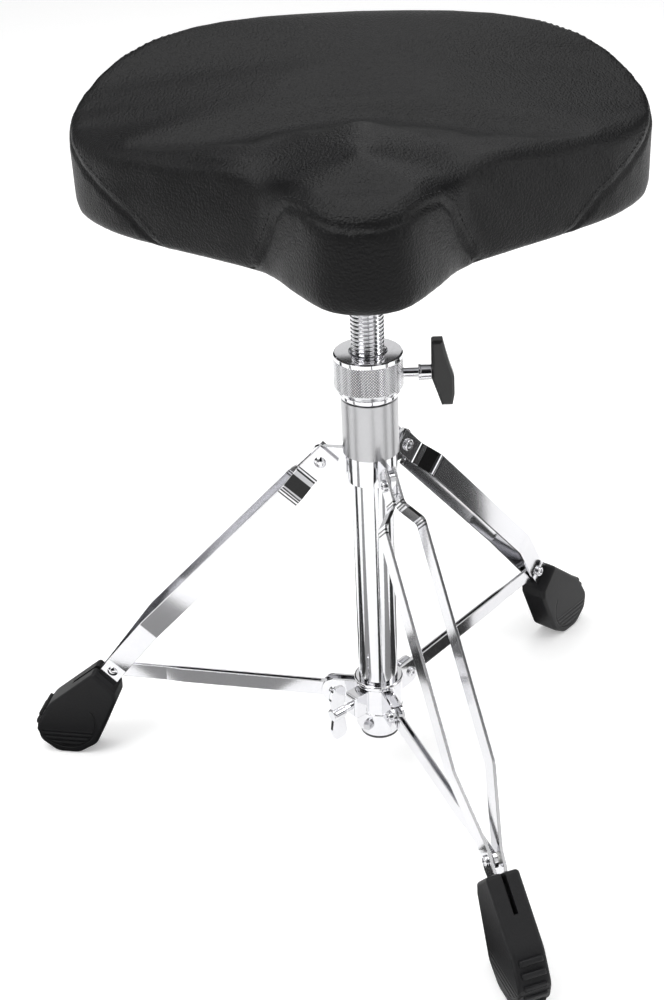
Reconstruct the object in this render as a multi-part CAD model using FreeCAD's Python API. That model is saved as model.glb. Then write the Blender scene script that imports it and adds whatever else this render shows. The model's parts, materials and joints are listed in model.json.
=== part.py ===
import FreeCAD, Part

import math
import os

# Drum throne: a padded saddle seat on a threaded spindle, carried by a folding tripod.
# Millimetres. The origin is on the floor under the tube's axis, +Z is up, the nose of the seat
# points along -Y and the lock screw along +X. A leg, brace or ear is drawn in the plane Y = 0,
# leaning out along +X, and is then turned to its place round the tube.

Vector = FreeCAD.Vector

# ---- driving dimensions -------------------------------------------------------------------------

# clearances
RUN_CLEARANCE = 0.05        # radial, a pin or a shaft that turns or slides in its hole
FACE_CLEARANCE = 0.3        # between the flat faces of pieces that move past each other
REST_GAP = 0.1              # between the faces of pieces that bear on each other and turn or slide
SEAT_GAP = 0.3              # between the layers of the seat

# tripod
LEG_AZIMUTHS = (50.0, 170.0, 290.0)
LEG_LENGTH = 283.15         # hub pivot to brace pin
LEG_SPREAD = 41.77          # of that line, from the vertical, degrees
PIN_HEIGHT = 85.5           # brace pin above the floor
HUB_PIVOT_R = 39.3          # hub pivot from the tube's axis
BRACE_PIVOT_R = 37.0        # brace pivot on the sliding collar, from the tube's axis
BRACE_RISE = 4.2            # the brace pin stands this much over the brace pivot

# leg bars
BAR_WIDTH = 18.0
BAR_THICKNESS = 2.3
BAR_TOP_END = 11.0          # bar past the hub pivot
BAR_BOOT_END = 44.0         # bar past the brace pin, inside the boot
KNEE_ALONG = 217.0          # knee from the hub pivot, along the pivot-to-pin line
KNEE_OFFSET = 4.8           # knee outside that line
BAR_SPACING_WIDE = 31.0     # between the middles of a leg's two bars
BRACE_SPACER = 1.6          # thickness of the spacer beside a brace pin
JOG_START = 17.0            # where the bars start to spread, from the hub pivot
JOG_LENGTH = 15.0
PIN_FLAT = 6.0              # the bars are parallel this far each way from the brace pin
MOUTH_RUN = 10.0            # from there the bars close up over this length
JOG_RADIUS = 7.0
KNEE_RADIUS = 30.0
BAR_EDGE_RADIUS = 60.0      # of the knee, in the leg's own plane
BAR_CORNER = 3.0

# rivets
HUB_RIVET_R = 3.0
PIN_RIVET_R = 2.5
HUB_RIVET_HEAD_R = 4.8
PIN_RIVET_HEAD_R = 4.5
RIVET_HEAD_H = 2.0
RIVET_DISH_R = 2.6
RIVET_DISH_DEPTH = 1.0

# braces
BRACE_HEIGHT = 13.0
BRACE_WIDTH = 5.0
BRACE_TIP_WIDTH = 3.0       # pressed flat towards the leg
BRACE_TIP_LENGTH = 46.0
BRACE_TAPER = 15.0
BRACE_WALL = 1.1
BRACE_FLOOR = 1.4
BRACE_EYE = 12.0            # each end stays solid this far from its pin

# rubber feet: the side's outline as (outward from the brace pin, above the floor, corner radius)
BOOT_OUTLINE = (
    (-1.6, 66.5, 2.0),
    (-1.2, 57.5, 8.0),
    (20.5, 11.0, 14.0),
    (37.5, 0.0, 14.0),
    (57.5, 0.0, 14.0),
    (71.5, 12.0, 10.0),
    (73.5, 27.0, 14.0),
    (60.0, 49.5, 30.0),
    (15.5, 86.0, 3.0),
)
BOOT_WIDTH = 26.0
BOOT_ROUND = 3.0
BOOT_SLOT_DEPTH = 40.0      # slot for the brace's tip, from the brace pin down the leg
BOOT_SLOT_INNER = 3.0       # and this far inside the leg's line
BOOT_DISH_DEPTH = 1.2       # hollow in each side

# tube and hub
TUBE_R = 15.9
TUBE_WALL = 1.6
TUBE_BOTTOM = 46.0
HUB_WALL = 4.1
HUB_BELOW_PIVOT = 12.1
HUB_ABOVE_PIVOT = 11.3
EAR_THICKNESS = 4.2
EAR_ABOVE_PIVOT = 12.6
EAR_BELOW_PIVOT = 10.8
EAR_END = 7.5               # ear past the hub pivot
SLEEVE_WALL = 5.7
SLEEVE_LENGTH = 45.4
PLUG_DEPTH = 14.0
PLUG_FLANGE = 2.0
PLUG_WALL = 2.5

# top of the tube
BUSH_DEPTH = 40.0
BUSH_FLANGE = 1.2
BUSH_FLANGE_INSET = 0.6      # its flange inside the sleeve's edge
THRUST_RING_LIP = 0.8       # past the sleeve's side
THRUST_RING_HEIGHT = 4.6
THRUST_RING_ROUND = 1.2

# spindle
SPINDLE_R = 12.7
SPINDLE_BELOW = 178.0       # thread below the collar's top
SPINDLE_SHOWN = 45.0        # thread between the collar's top and the seat bracket
SPINDLE_STEP = 1.7          # from the thread down to the plain pin in the bracket's socket
SPINDLE_PIN_LENGTH = 34.0
SPINDLE_CHAMFER = 1.5

# lock collar and its screw
COLLAR_WALL = 13.3
COLLAR_HEIGHT = 30.8
COLLAR_FOOT_STEP = 2.4
COLLAR_FOOT_CHAMFER = 3.4
COLLAR_TOP_CHAMFER = 1.0
COLLAR_SINK = 1.9           # round the spindle
COLLAR_SINK_DEPTH = 3.0
LOCK_SCREW_DROP = 18.7      # screw's axis below the collar's top
LOCK_STUD_R = 3.6
LOCK_STUD_LENGTH = 24.4
LOCK_FLANGE_R = 6.2
LOCK_FLANGE_T = 1.5
LOCK_BOSS_R = 5.7
LOCK_BOSS_LENGTH = 7.9
LOCK_TANG_R = 3.0
LOCK_TANG_LENGTH = 9.0
HANDLE_WIDTH = 12.0
HANDLE_CHAMFER = 2.0
# the handle's side as (out from the boss, up from the screw's axis)
HANDLE_OUTLINE = (
    (0.1, 25.4),
    (1.4, 26.7),
    (8.6, 26.7),
    (11.0, 17.0),
    (13.6, 7.4),
    (17.0, -3.0),
    (17.2, -17.0),
    (15.6, -25.7),
    (7.6, -25.7),
    (0.1, -3.5),
)

# sliding collar
SLIDER_WALL = 3.1           # at the middle of a flat
SLIDER_FLATS = 12
SLIDER_BELOW_PIVOT = 11.3
SLIDER_ABOVE_PIVOT = 12.2
SLIDER_LIP = 1.2            # past the flats
SLIDER_LIP_HEIGHT = 4.8
SLIDER_LIP_ROUND = 1.6
FORK_THICKNESS = 2.0
FORK_END = 10.5             # ear past the brace pivot
WING_AZIMUTH = 220.0
WING_BOSS_R = 31.0          # face of the screw's boss from the tube's axis
WING_BOSS_WIDTH = 13.0
WING_BOSS_HEIGHT = 20.0
WING_SCREW_R = 3.0
WING_SCREW_SHOWN = 8.0
WING_HUB_R = 5.4
WING_HUB_LENGTH = 12.0
WING_TANG_LENGTH = 8.0
WING_REACH = 25.0
WING_THICKNESS = 3.0
STOP_RING_WALL = 3.6
STOP_RING_HEIGHT = 18.6
STOP_SCREW_AZIMUTH = 243.0
STOP_SCREW_R = 2.4
STOP_SCREW_HEAD_R = 4.2
STOP_SCREW_FLANGE_T = 1.5
STOP_SCREW_SQUARE = 5.0
STOP_SCREW_SQUARE_H = 4.0

# seat: half of its outline, as (outward, back), from the nose round to the middle of the back
SEAT_HALF_OUTLINE = (
    (0.0, -142.0),
    (28.0, -133.0),
    (50.0, -101.0),
    (70.0, -65.0),
    (106.0, -34.0),
    (149.0, -2.0),
    (188.0, 32.0),
    (214.0, 74.0),
    (210.0, 116.0),
    (180.0, 150.0),
    (126.0, 174.0),
    (64.0, 185.0),
    (0.0, 188.0),
)
# the top's height over the underside, as (back, height)
SEAT_TOP_PROFILE = (
    (-190.0, 52.0),
    (-150.0, 62.0),
    (-60.0, 80.0),
    (30.0, 74.0),
    (110.0, 92.0),
    (170.0, 121.0),
    (230.0, 130.0),
)
SEAT_ROUND = 10.0
COVER_THICKNESS = 1.6
HEM_WIDTH = 26.0
BOARD_THICKNESS = 12.0
BOARD_INSET = 14.0
BRACKET_SIZE = 112.0
BRACKET_PLATE = 3.5
BRACKET_CORNER = 14.0
BRACKET_SOCKET_WALL = 6.0
BRACKET_GUSSET_FLARE = 9.0
BRACKET_GUSSET_H = 9.0
BRACKET_BOLT_SPACING = 84.0
BRACKET_BOLT_R = 3.0
BRACKET_BOLT_HEAD_R = 5.6
BRACKET_BOLT_HEAD_H = 3.4
TEE_NUT_R = 4.0
TEE_NUT_FLANGE_R = 9.0
TEE_NUT_FLANGE_T = 1.2
SOCKET_SCREW_AZIMUTH = 90.0
SOCKET_SCREW_R = 4.0
SOCKET_SCREW_HEAD_R = 6.5
SOCKET_SCREW_HEAD_H = 6.0

# ---- sizes and places worked out from the dimensions --------------------------------------------

HUB_R = TUBE_R + HUB_WALL
SLEEVE_R = TUBE_R + SLEEVE_WALL
SLIDER_R = TUBE_R + SLIDER_WALL
SLIDER_LIP_R = SLIDER_R + SLIDER_LIP
STOP_RING_R = TUBE_R + STOP_RING_WALL
BUSH_FLANGE_R = SLEEVE_R - BUSH_FLANGE_INSET
THRUST_RING_R = SLEEVE_R + THRUST_RING_LIP
COLLAR_R = SPINDLE_R + COLLAR_WALL
COLLAR_FOOT_R = COLLAR_R - COLLAR_FOOT_STEP
COLLAR_SINK_R = SPINDLE_R + COLLAR_SINK
SPINDLE_PIN_R = SPINDLE_R - SPINDLE_STEP
BRACKET_SOCKET_R = SPINDLE_PIN_R + BRACKET_SOCKET_WALL
BRACKET_GUSSET_R = BRACKET_SOCKET_R + BRACKET_GUSSET_FLARE

SPREAD = math.radians(LEG_SPREAD)
HUB_PIVOT_Z = PIN_HEIGHT + LEG_LENGTH * math.cos(SPREAD)
PIN_R = HUB_PIVOT_R + LEG_LENGTH * math.sin(SPREAD)
BRACE_PIVOT_Z = PIN_HEIGHT - BRACE_RISE
BRACE_LENGTH = math.hypot(PIN_R - BRACE_PIVOT_R, BRACE_RISE)

BRACE_GAP = BRACE_TIP_WIDTH / 2 + FACE_CLEARANCE
BAR_AT_HUB = EAR_THICKNESS / 2 + FACE_CLEARANCE + BAR_THICKNESS / 2
BAR_AT_PIN = BRACE_GAP + BRACE_SPACER + BAR_THICKNESS / 2
BAR_AT_MOUTH = BRACE_GAP + BAR_THICKNESS / 2

HUB_BOTTOM = HUB_PIVOT_Z - HUB_BELOW_PIVOT
HUB_TOP = HUB_PIVOT_Z + HUB_ABOVE_PIVOT
SLEEVE_TOP = HUB_TOP + SLEEVE_LENGTH
BUSH_TOP = SLEEVE_TOP + BUSH_FLANGE
RING_TOP = BUSH_TOP + THRUST_RING_HEIGHT
COLLAR_BOTTOM = RING_TOP + REST_GAP
COLLAR_TOP = COLLAR_BOTTOM + COLLAR_HEIGHT
BORE_R = SPINDLE_R + RUN_CLEARANCE
TUBE_BORE_R = TUBE_R - TUBE_WALL
LOCK_SCREW_Z = COLLAR_TOP - LOCK_SCREW_DROP

SOCKET_BOTTOM = COLLAR_TOP + SPINDLE_SHOWN
SPINDLE_TOP = SOCKET_BOTTOM + SPINDLE_PIN_LENGTH
PLATE_BOTTOM = SPINDLE_TOP + REST_GAP
SEAT_BOTTOM = PLATE_BOTTOM + BRACKET_PLATE
BOARD_BOTTOM = SEAT_BOTTOM + COVER_THICKNESS
BOARD_TOP = BOARD_BOTTOM + BOARD_THICKNESS

SLIDER_BOTTOM = BRACE_PIVOT_Z - SLIDER_BELOW_PIVOT
SLIDER_TOP = BRACE_PIVOT_Z + SLIDER_ABOVE_PIVOT
FORK_GAP = BRACE_WIDTH / 2 + FACE_CLEARANCE
STOP_RING_TOP = SLIDER_BOTTOM - REST_GAP
STOP_SCREW_Z = STOP_RING_TOP - STOP_RING_HEIGHT / 2


# ---- helpers ------------------------------------------------------------------------------------

def cylinder(radius, z_low, z_high, x=0.0, y=0.0):
    """An upright cylinder."""
    return Part.makeCylinder(radius, z_high - z_low, Vector(x, y, z_low))


def rod_x(radius, x_low, x_high, z=0.0):
    """A cylinder along X in the plane Y = 0."""
    return Part.makeCylinder(radius, x_high - x_low, Vector(x_low, 0, z), Vector(1, 0, 0))


def rod_y(radius, y_low, y_high, x=0.0, z=0.0):
    """A cylinder along Y."""
    return Part.makeCylinder(radius, y_high - y_low, Vector(x, y_low, z), Vector(0, 1, 0))


def box(x_low, x_high, y_low, y_high, z_low, z_high):
    """A box given by its limits."""
    return Part.makeBox(x_high - x_low, y_high - y_low, z_high - z_low, Vector(x_low, y_low, z_low))


def revolved(profile):
    """A solid of revolution about Z from a closed profile of (radius, z) points."""
    points = [Vector(r, 0, z) for r, z in profile]
    wire = Part.makePolygon(points + points[:1])
    return Part.Face(wire).revolve(Vector(0, 0, 0), Vector(0, 0, 1), 360)


def corner(before, at, after, radius):
    """The two tangent points and the middle of the arc that rounds one corner of an outline."""
    to_before = (before - at).normalize()
    to_after = (after - at).normalize()
    half = to_before.getAngle(to_after) / 2
    reach = radius / math.tan(half)
    bisector = (to_before + to_after).normalize()
    middle = at + bisector * (radius / math.sin(half) - radius)
    return at + to_before * reach, middle, at + to_after * reach


def rounded_outline(points, radii):
    """A closed wire of straight runs whose corners are rounded by the given radii."""
    count = len(points)
    corners = []
    for i in range(count):
        corners.append(corner(points[i - 1], points[i], points[(i + 1) % count], radii[i]))
    edges = []
    for i in range(count):
        start, middle, end = corners[i]
        edges.append(Part.Arc(start, middle, end).toShape())
        edges.append(Part.LineSegment(end, corners[(i + 1) % count][0]).toShape())
    return Part.Wire(edges)


def strip_outline(points, radii, width):
    """The closed wire of a strip of even width along an open path with rounded bends.

    The bends are concentric: a radius holds for the middle of the strip.
    """
    half = width / 2
    normal = Vector(0, 0, 1)
    sides = []
    for side in (1, -1):
        line = []
        for i, point in enumerate(points):
            if i == 0:
                along = (points[1] - point).normalize()
                line.append(point + normal.cross(along) * (half * side))
            elif i == len(points) - 1:
                along = (point - points[i - 1]).normalize()
                line.append(point + normal.cross(along) * (half * side))
            else:
                before = (point - points[i - 1]).normalize()
                after = (points[i + 1] - point).normalize()
                mitre = (normal.cross(before) + normal.cross(after)).normalize()
                reach = half * side / mitre.dot(normal.cross(before))
                line.append(point + mitre * reach)
        edges = []
        start = line[0]
        for i in range(1, len(line) - 1):
            before = (line[i] - line[i - 1]).normalize()
            after = (line[i + 1] - line[i]).normalize()
            turn = normal.dot(before.cross(after))
            radius = radii[i - 1] - half * side * (1 if turn > 0 else -1)
            first, middle, last = corner(line[i - 1], line[i], line[i + 1], radius)
            edges.append(Part.LineSegment(start, first).toShape())
            edges.append(Part.Arc(first, middle, last).toShape())
            start = last
        edges.append(Part.LineSegment(start, line[-1]).toShape())
        sides.append((line[0], line[-1], edges))
    (start_a, end_a, edges_a), (start_b, end_b, edges_b) = sides
    closing = [
        Part.LineSegment(end_a, end_b).toShape(),
        Part.LineSegment(start_b, start_a).toShape(),
    ]
    return Part.Wire(Part.__sortEdges__(edges_a + edges_b + closing))


def extruded(wire, direction):
    """The solid swept by a closed flat wire."""
    return Part.Face(wire).extrude(direction)


def leg_plane(wire):
    """Stand a wire drawn in XY up into the plane Y = 0, so that its Y becomes Z."""
    turned = wire.copy()
    turned.rotate(Vector(0, 0, 0), Vector(1, 0, 0), 90)
    return turned


def around(shape, azimuth):
    """A copy of a shape turned round the tube's axis."""
    turned = shape.copy()
    turned.rotate(Vector(0, 0, 0), Vector(0, 0, 1), azimuth)
    return turned


def along_leg(along, outside=0.0):
    """The (x, z) of a point along the pivot-to-pin line, and square to that line."""
    x = HUB_PIVOT_R + along * math.sin(SPREAD) + outside * math.cos(SPREAD)
    z = HUB_PIVOT_Z - along * math.cos(SPREAD) + outside * math.sin(SPREAD)
    return x, z


def beyond(start, end, length):
    """The point that lies past the end of a line by a length."""
    step = math.hypot(end[0] - start[0], end[1] - start[1])
    share = length / step
    return end[0] + (end[0] - start[0]) * share, end[1] + (end[1] - start[1]) * share


# ---- legs ---------------------------------------------------------------------------------------

def bar_side_outline():
    """Side of a leg bar in the plane Y = 0: straight, a slight knee, straight into the boot."""
    hub = (HUB_PIVOT_R, HUB_PIVOT_Z)
    pin = (PIN_R, PIN_HEIGHT)
    knee = along_leg(KNEE_ALONG, KNEE_OFFSET)
    top = beyond(knee, hub, BAR_TOP_END)
    foot = beyond(knee, pin, BAR_BOOT_END)
    path = [Vector(x, z, 0) for x, z in (top, knee, foot)]
    return leg_plane(strip_outline(path, [BAR_EDGE_RADIUS], BAR_WIDTH))


def bar_spread_outline():
    """Bends of a leg bar seen from above its flat: (along the leg, out from the leg's middle)."""
    wide = BAR_SPACING_WIDE / 2
    pin_start = LEG_LENGTH - PIN_FLAT
    pin_end = LEG_LENGTH + PIN_FLAT
    path = (
        (-2 * BAR_TOP_END, BAR_AT_HUB),
        (JOG_START, BAR_AT_HUB),
        (JOG_START + JOG_LENGTH, wide),
        (KNEE_ALONG, wide),
        (pin_start, BAR_AT_PIN),
        (pin_end, BAR_AT_PIN),
        (pin_end + MOUTH_RUN, BAR_AT_MOUTH),
        (LEG_LENGTH + 2 * BAR_BOOT_END, BAR_AT_MOUTH),
    )
    radii = [JOG_RADIUS, JOG_RADIUS, KNEE_RADIUS, KNEE_RADIUS, KNEE_RADIUS, KNEE_RADIUS]
    return strip_outline([Vector(x, y, 0) for x, y in path], radii, BAR_THICKNESS)


def leg_bar():
    """The bar on a leg's +Y side: a bent flat strip with holes for the two rivets."""
    spread = extruded(bar_spread_outline(), Vector(0, 0, 4 * BAR_WIDTH))
    spread.translate(Vector(0, 0, -2 * BAR_WIDTH))
    spread.rotate(Vector(0, 0, 0), Vector(0, 1, 0), 90 - LEG_SPREAD)
    spread.translate(Vector(HUB_PIVOT_R, 0, HUB_PIVOT_Z))
    side = extruded(bar_side_outline(), Vector(0, BAR_SPACING_WIDE, 0))
    bar = spread.common(side)
    reach = BAR_SPACING_WIDE
    bar = bar.cut(rod_y(HUB_RIVET_R, 0, reach, HUB_PIVOT_R, HUB_PIVOT_Z))
    bar = bar.cut(rod_y(PIN_RIVET_R, 0, reach, PIN_R, PIN_HEIGHT))
    return bar.Solids[0]


def mirrored(shape):
    """The shape on the other side of the plane Y = 0."""
    return shape.mirror(Vector(0, 0, 0), Vector(0, 1, 0))


def domed_head(head_r, y_face, x, z):
    """A low dome that stands on a face towards +Y."""
    sphere_r = (head_r ** 2 + RIVET_HEAD_H ** 2) / (2 * RIVET_HEAD_H)
    centre = Vector(x, y_face + RIVET_HEAD_H - sphere_r, z)
    ball = Part.makeSphere(sphere_r, centre)
    return ball.common(rod_y(head_r, y_face, y_face + RIVET_HEAD_H, x, z))


def dished_head(head_r, y_face, x, z):
    """A flared head with a dished middle, on a face towards -Y."""
    head = rod_y(head_r, y_face - RIVET_HEAD_H, y_face, x, z)
    outer = [edge for edge in head.Edges if edge.Curve.TypeId == "Part::GeomCircle"
             and edge.CenterOfMass.y < y_face - RIVET_HEAD_H / 2]
    head = head.makeFillet(RIVET_HEAD_H / 2, outer)
    dish = rod_y(RIVET_DISH_R, y_face - RIVET_HEAD_H, y_face - RIVET_HEAD_H + RIVET_DISH_DEPTH, x, z)
    return head.cut(dish)


def rivet(shank_r, head_r, half_grip, x, z):
    """A rivet across the plane Y = 0, domed on one side and dished on the other."""
    shank = rod_y(shank_r, -half_grip, half_grip, x, z)
    dome = domed_head(head_r, half_grip, x, z)
    dish = dished_head(head_r, -half_grip, x, z)
    return shank.fuse([dome, dish]).removeSplitter()


def leg_pivot_rivet():
    """The rivet that joins a leg's two bars through the hub's ear."""
    half_grip = BAR_AT_HUB + BAR_THICKNESS / 2
    return rivet(HUB_RIVET_R, HUB_RIVET_HEAD_R, half_grip, HUB_PIVOT_R, HUB_PIVOT_Z)


def leg_brace_studs():
    """The two headed ends of the brace pin, one in each bar, as a group of two solids."""
    outer = BAR_AT_PIN + BAR_THICKNESS / 2
    plus = rod_y(PIN_RIVET_R, BRACE_GAP, outer, PIN_R, PIN_HEIGHT)
    plus = plus.fuse(domed_head(PIN_RIVET_HEAD_R, outer, PIN_R, PIN_HEIGHT)).removeSplitter()
    minus = rod_y(PIN_RIVET_R, -outer, -BRACE_GAP, PIN_R, PIN_HEIGHT)
    minus = minus.fuse(dished_head(PIN_RIVET_HEAD_R, -outer, PIN_R, PIN_HEIGHT)).removeSplitter()
    return Part.makeCompound([plus, minus])


def leg_spacers():
    """The white spacers between the bars and the brace, as a group of two solids."""
    outer = BRACE_GAP + BRACE_SPACER
    ring = rod_y(PIN_RIVET_HEAD_R, BRACE_GAP, outer, PIN_R, PIN_HEIGHT)
    ring = ring.cut(rod_y(PIN_RIVET_R, BRACE_GAP, outer, PIN_R, PIN_HEIGHT))
    return Part.makeCompound([ring, mirrored(ring)])


def leg_foot(bars):
    """A rubber boot: rounded below with a flat pad, hollowed sides, pockets for the bars."""
    points = [Vector(PIN_R + out, up, 0) for out, up, _ in BOOT_OUTLINE]
    radii = [radius for _, _, radius in BOOT_OUTLINE]
    outline = leg_plane(rounded_outline(points, radii))
    boot = extruded(outline, Vector(0, BOOT_WIDTH, 0))
    boot.translate(Vector(0, -BOOT_WIDTH / 2, 0))
    rims = [edge for edge in boot.Edges if abs(edge.CenterOfMass.y) > BOOT_WIDTH / 2 - 0.01
            and edge.CenterOfMass.z > BOOT_ROUND]
    boot = boot.makeFillet(BOOT_ROUND, rims)
    slot_end = LEG_LENGTH + BOOT_SLOT_DEPTH
    slot = box(0, slot_end, -BRACE_GAP, BRACE_GAP, -BOOT_SLOT_INNER, LEG_LENGTH)
    slot.rotate(Vector(0, 0, 0), Vector(0, 1, 0), 90 - LEG_SPREAD)
    slot.translate(Vector(HUB_PIVOT_R, 0, HUB_PIVOT_Z))
    return boot.cut(slot).cut(bars[0]).cut(bars[1]).Solids[0]


# ---- braces -------------------------------------------------------------------------------------

def brace_frame(shape):
    """Move a shape drawn from the brace pivot along +X to the brace's place at rest."""
    rise = math.degrees(math.atan2(BRACE_RISE, PIN_R - BRACE_PIVOT_R))
    placed = shape.copy()
    placed.rotate(Vector(0, 0, 0), Vector(0, 1, 0), -rise)
    placed.translate(Vector(BRACE_PIVOT_R, 0, BRACE_PIVOT_Z))
    return placed


def brace():
    """A folded channel, open on top, pressed flat at both ends."""
    half = BRACE_HEIGHT / 2
    length = BRACE_LENGTH
    flat_start = length - BRACE_TIP_LENGTH
    wide = BRACE_WIDTH / 2
    thin = BRACE_TIP_WIDTH / 2
    side = (
        (-half, -wide),
        (flat_start - BRACE_TAPER, -wide),
        (flat_start, -thin),
        (length + half, -thin),
        (length + half, thin),
        (flat_start, thin),
        (flat_start - BRACE_TAPER, wide),
        (-half, wide),
    )
    points = [Vector(x, y, -half) for x, y in side]
    body = extruded(Part.makePolygon(points + points[:1]), Vector(0, 0, BRACE_HEIGHT))
    ends = box(0, length, -wide, wide, -half, half)
    ends = ends.fuse([rod_y(half, -wide, wide, 0, 0), rod_y(half, -wide, wide, length, 0)])
    body = body.common(ends)
    inner_wide = wide - BRACE_WALL
    inner_thin = thin - BRACE_WALL
    hollow = (
        (BRACE_EYE, -inner_wide),
        (flat_start - BRACE_TAPER, -inner_wide),
        (flat_start, -inner_thin),
        (length - BRACE_EYE, -inner_thin),
        (length - BRACE_EYE, inner_thin),
        (flat_start, inner_thin),
        (flat_start - BRACE_TAPER, inner_wide),
        (BRACE_EYE, inner_wide),
    )
    points = [Vector(x, y, BRACE_FLOOR - half) for x, y in hollow]
    body = body.cut(extruded(Part.makePolygon(points + points[:1]), Vector(0, 0, BRACE_HEIGHT)))
    body = body.cut(rod_y(PIN_RIVET_R + RUN_CLEARANCE, -wide, wide, 0, 0))
    body = body.cut(rod_y(PIN_RIVET_R, -wide, wide, length, 0))
    return brace_frame(body.removeSplitter().Solids[0])


def brace_pin():
    """The middle of the brace pin, inside the brace's outer eye."""
    thin = BRACE_TIP_WIDTH / 2
    return brace_frame(rod_y(PIN_RIVET_R, -thin, thin, BRACE_LENGTH, 0))


# ---- tube, hub and stop ring --------------------------------------------------------------------

def main_tube():
    """The upright tube, from its plug to the top of the sleeve."""
    outer = cylinder(TUBE_R, TUBE_BOTTOM, SLEEVE_TOP)
    return outer.cut(cylinder(TUBE_BORE_R, TUBE_BOTTOM, SLEEVE_TOP))


def tube_end_cap():
    """The plug in the foot of the tube."""
    cap = cylinder(TUBE_R, TUBE_BOTTOM - PLUG_FLANGE, TUBE_BOTTOM)
    cap = cap.fuse(cylinder(TUBE_BORE_R - RUN_CLEARANCE, TUBE_BOTTOM, TUBE_BOTTOM + PLUG_DEPTH))
    hollow = cylinder(TUBE_BORE_R - PLUG_WALL, TUBE_BOTTOM, TUBE_BOTTOM + PLUG_DEPTH)
    return cap.removeSplitter().cut(hollow)


def leg_hub():
    """The ring that carries the legs: three single ears, each between a leg's two bars."""
    hub = cylinder(HUB_R, HUB_BOTTOM, HUB_TOP)
    half = EAR_THICKNESS / 2
    ear_bottom = HUB_PIVOT_Z - EAR_BELOW_PIVOT
    ear_top = HUB_PIVOT_Z + EAR_ABOVE_PIVOT
    ear_end = HUB_PIVOT_R + EAR_END
    corners = ((TUBE_R + TUBE_WALL, ear_bottom), (ear_end, ear_bottom), (ear_end, ear_top),
               (TUBE_R + TUBE_WALL, ear_top))
    points = [Vector(x, z, 0) for x, z in corners]
    ear = extruded(leg_plane(rounded_outline(points, [1.0, EAR_END, EAR_END, 1.0])),
                   Vector(0, EAR_THICKNESS, 0))
    ear.translate(Vector(0, -half, 0))
    ear = ear.cut(cylinder(SLEEVE_R + RUN_CLEARANCE, HUB_TOP, SLEEVE_TOP))
    ear = ear.cut(rod_y(HUB_RIVET_R + RUN_CLEARANCE, -half, half, HUB_PIVOT_R, HUB_PIVOT_Z))
    hub = hub.fuse([around(ear, azimuth) for azimuth in LEG_AZIMUTHS]).removeSplitter()
    return hub.cut(cylinder(TUBE_R + RUN_CLEARANCE, HUB_BOTTOM, SLEEVE_TOP))


def top_sleeve():
    """The plain sleeve round the top of the tube."""
    sleeve = cylinder(SLEEVE_R, HUB_TOP, SLEEVE_TOP)
    return sleeve.cut(cylinder(TUBE_R + RUN_CLEARANCE, HUB_TOP, SLEEVE_TOP))


def guide_bush():
    """The flanged bush in the top of the tube that guides the spindle."""
    bush = cylinder(TUBE_BORE_R - RUN_CLEARANCE, SLEEVE_TOP - BUSH_DEPTH, SLEEVE_TOP)
    bush = bush.fuse(cylinder(BUSH_FLANGE_R, SLEEVE_TOP, BUSH_TOP)).removeSplitter()
    return bush.cut(cylinder(BORE_R, SLEEVE_TOP - BUSH_DEPTH, BUSH_TOP))


def thrust_ring():
    """The polished ring on which the lock collar turns."""
    ring = cylinder(THRUST_RING_R, BUSH_TOP, RING_TOP)
    rims = [edge for edge in ring.Edges if edge.Curve.TypeId == "Part::GeomCircle"]
    ring = ring.makeFillet(THRUST_RING_ROUND, rims)
    return ring.cut(cylinder(BORE_R + RUN_CLEARANCE, BUSH_TOP, RING_TOP))


def stop_ring():
    """The ring clamped to the tube, on which the sliding collar rests."""
    bottom = STOP_RING_TOP - STOP_RING_HEIGHT
    ring = cylinder(STOP_RING_R, bottom, STOP_RING_TOP)
    rims = [edge for edge in ring.Edges if edge.Curve.TypeId == "Part::GeomCircle"]
    ring = ring.makeFillet(1.0, rims)
    ring = ring.cut(cylinder(TUBE_R + RUN_CLEARANCE, bottom, STOP_RING_TOP))
    hole = rod_x(STOP_SCREW_R, TUBE_R, STOP_RING_R, STOP_SCREW_Z)
    return ring.cut(around(hole, STOP_SCREW_AZIMUTH))


def stop_ring_screw():
    """The square-headed screw of the stop ring."""
    z = STOP_SCREW_Z
    face = STOP_RING_R + REST_GAP
    head = face + STOP_SCREW_FLANGE_T
    half = STOP_SCREW_SQUARE / 2
    screw = rod_x(STOP_SCREW_R, TUBE_R + REST_GAP, face, z)
    square = box(head, head + STOP_SCREW_SQUARE_H, -half, half, z - half, z + half)
    screw = screw.fuse([rod_x(STOP_SCREW_HEAD_R, face, head, z), square]).removeSplitter()
    return around(screw, STOP_SCREW_AZIMUTH)


# ---- sliding collar -----------------------------------------------------------------------------

def fork_ear():
    """The two plates that hold one brace, joined to the collar."""
    inner = TUBE_R + TUBE_WALL
    end = BRACE_PIVOT_R + FORK_END
    low = SLIDER_BOTTOM
    high = BRACE_PIVOT_Z + SLIDER_BELOW_PIVOT
    points = [Vector(x, z, 0) for x, z in ((inner, low), (end, low), (end, high), (inner, high))]
    outline = leg_plane(rounded_outline(points, [1.0, FORK_END, FORK_END, 1.0]))
    plate = extruded(outline, Vector(0, FORK_THICKNESS, 0))
    plate.translate(Vector(0, FORK_GAP, 0))
    hole = rod_y(PIN_RIVET_R, FORK_GAP, FORK_GAP + FORK_THICKNESS, BRACE_PIVOT_R, BRACE_PIVOT_Z)
    plate = plate.cut(hole)
    return [plate, mirrored(plate)]


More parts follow.
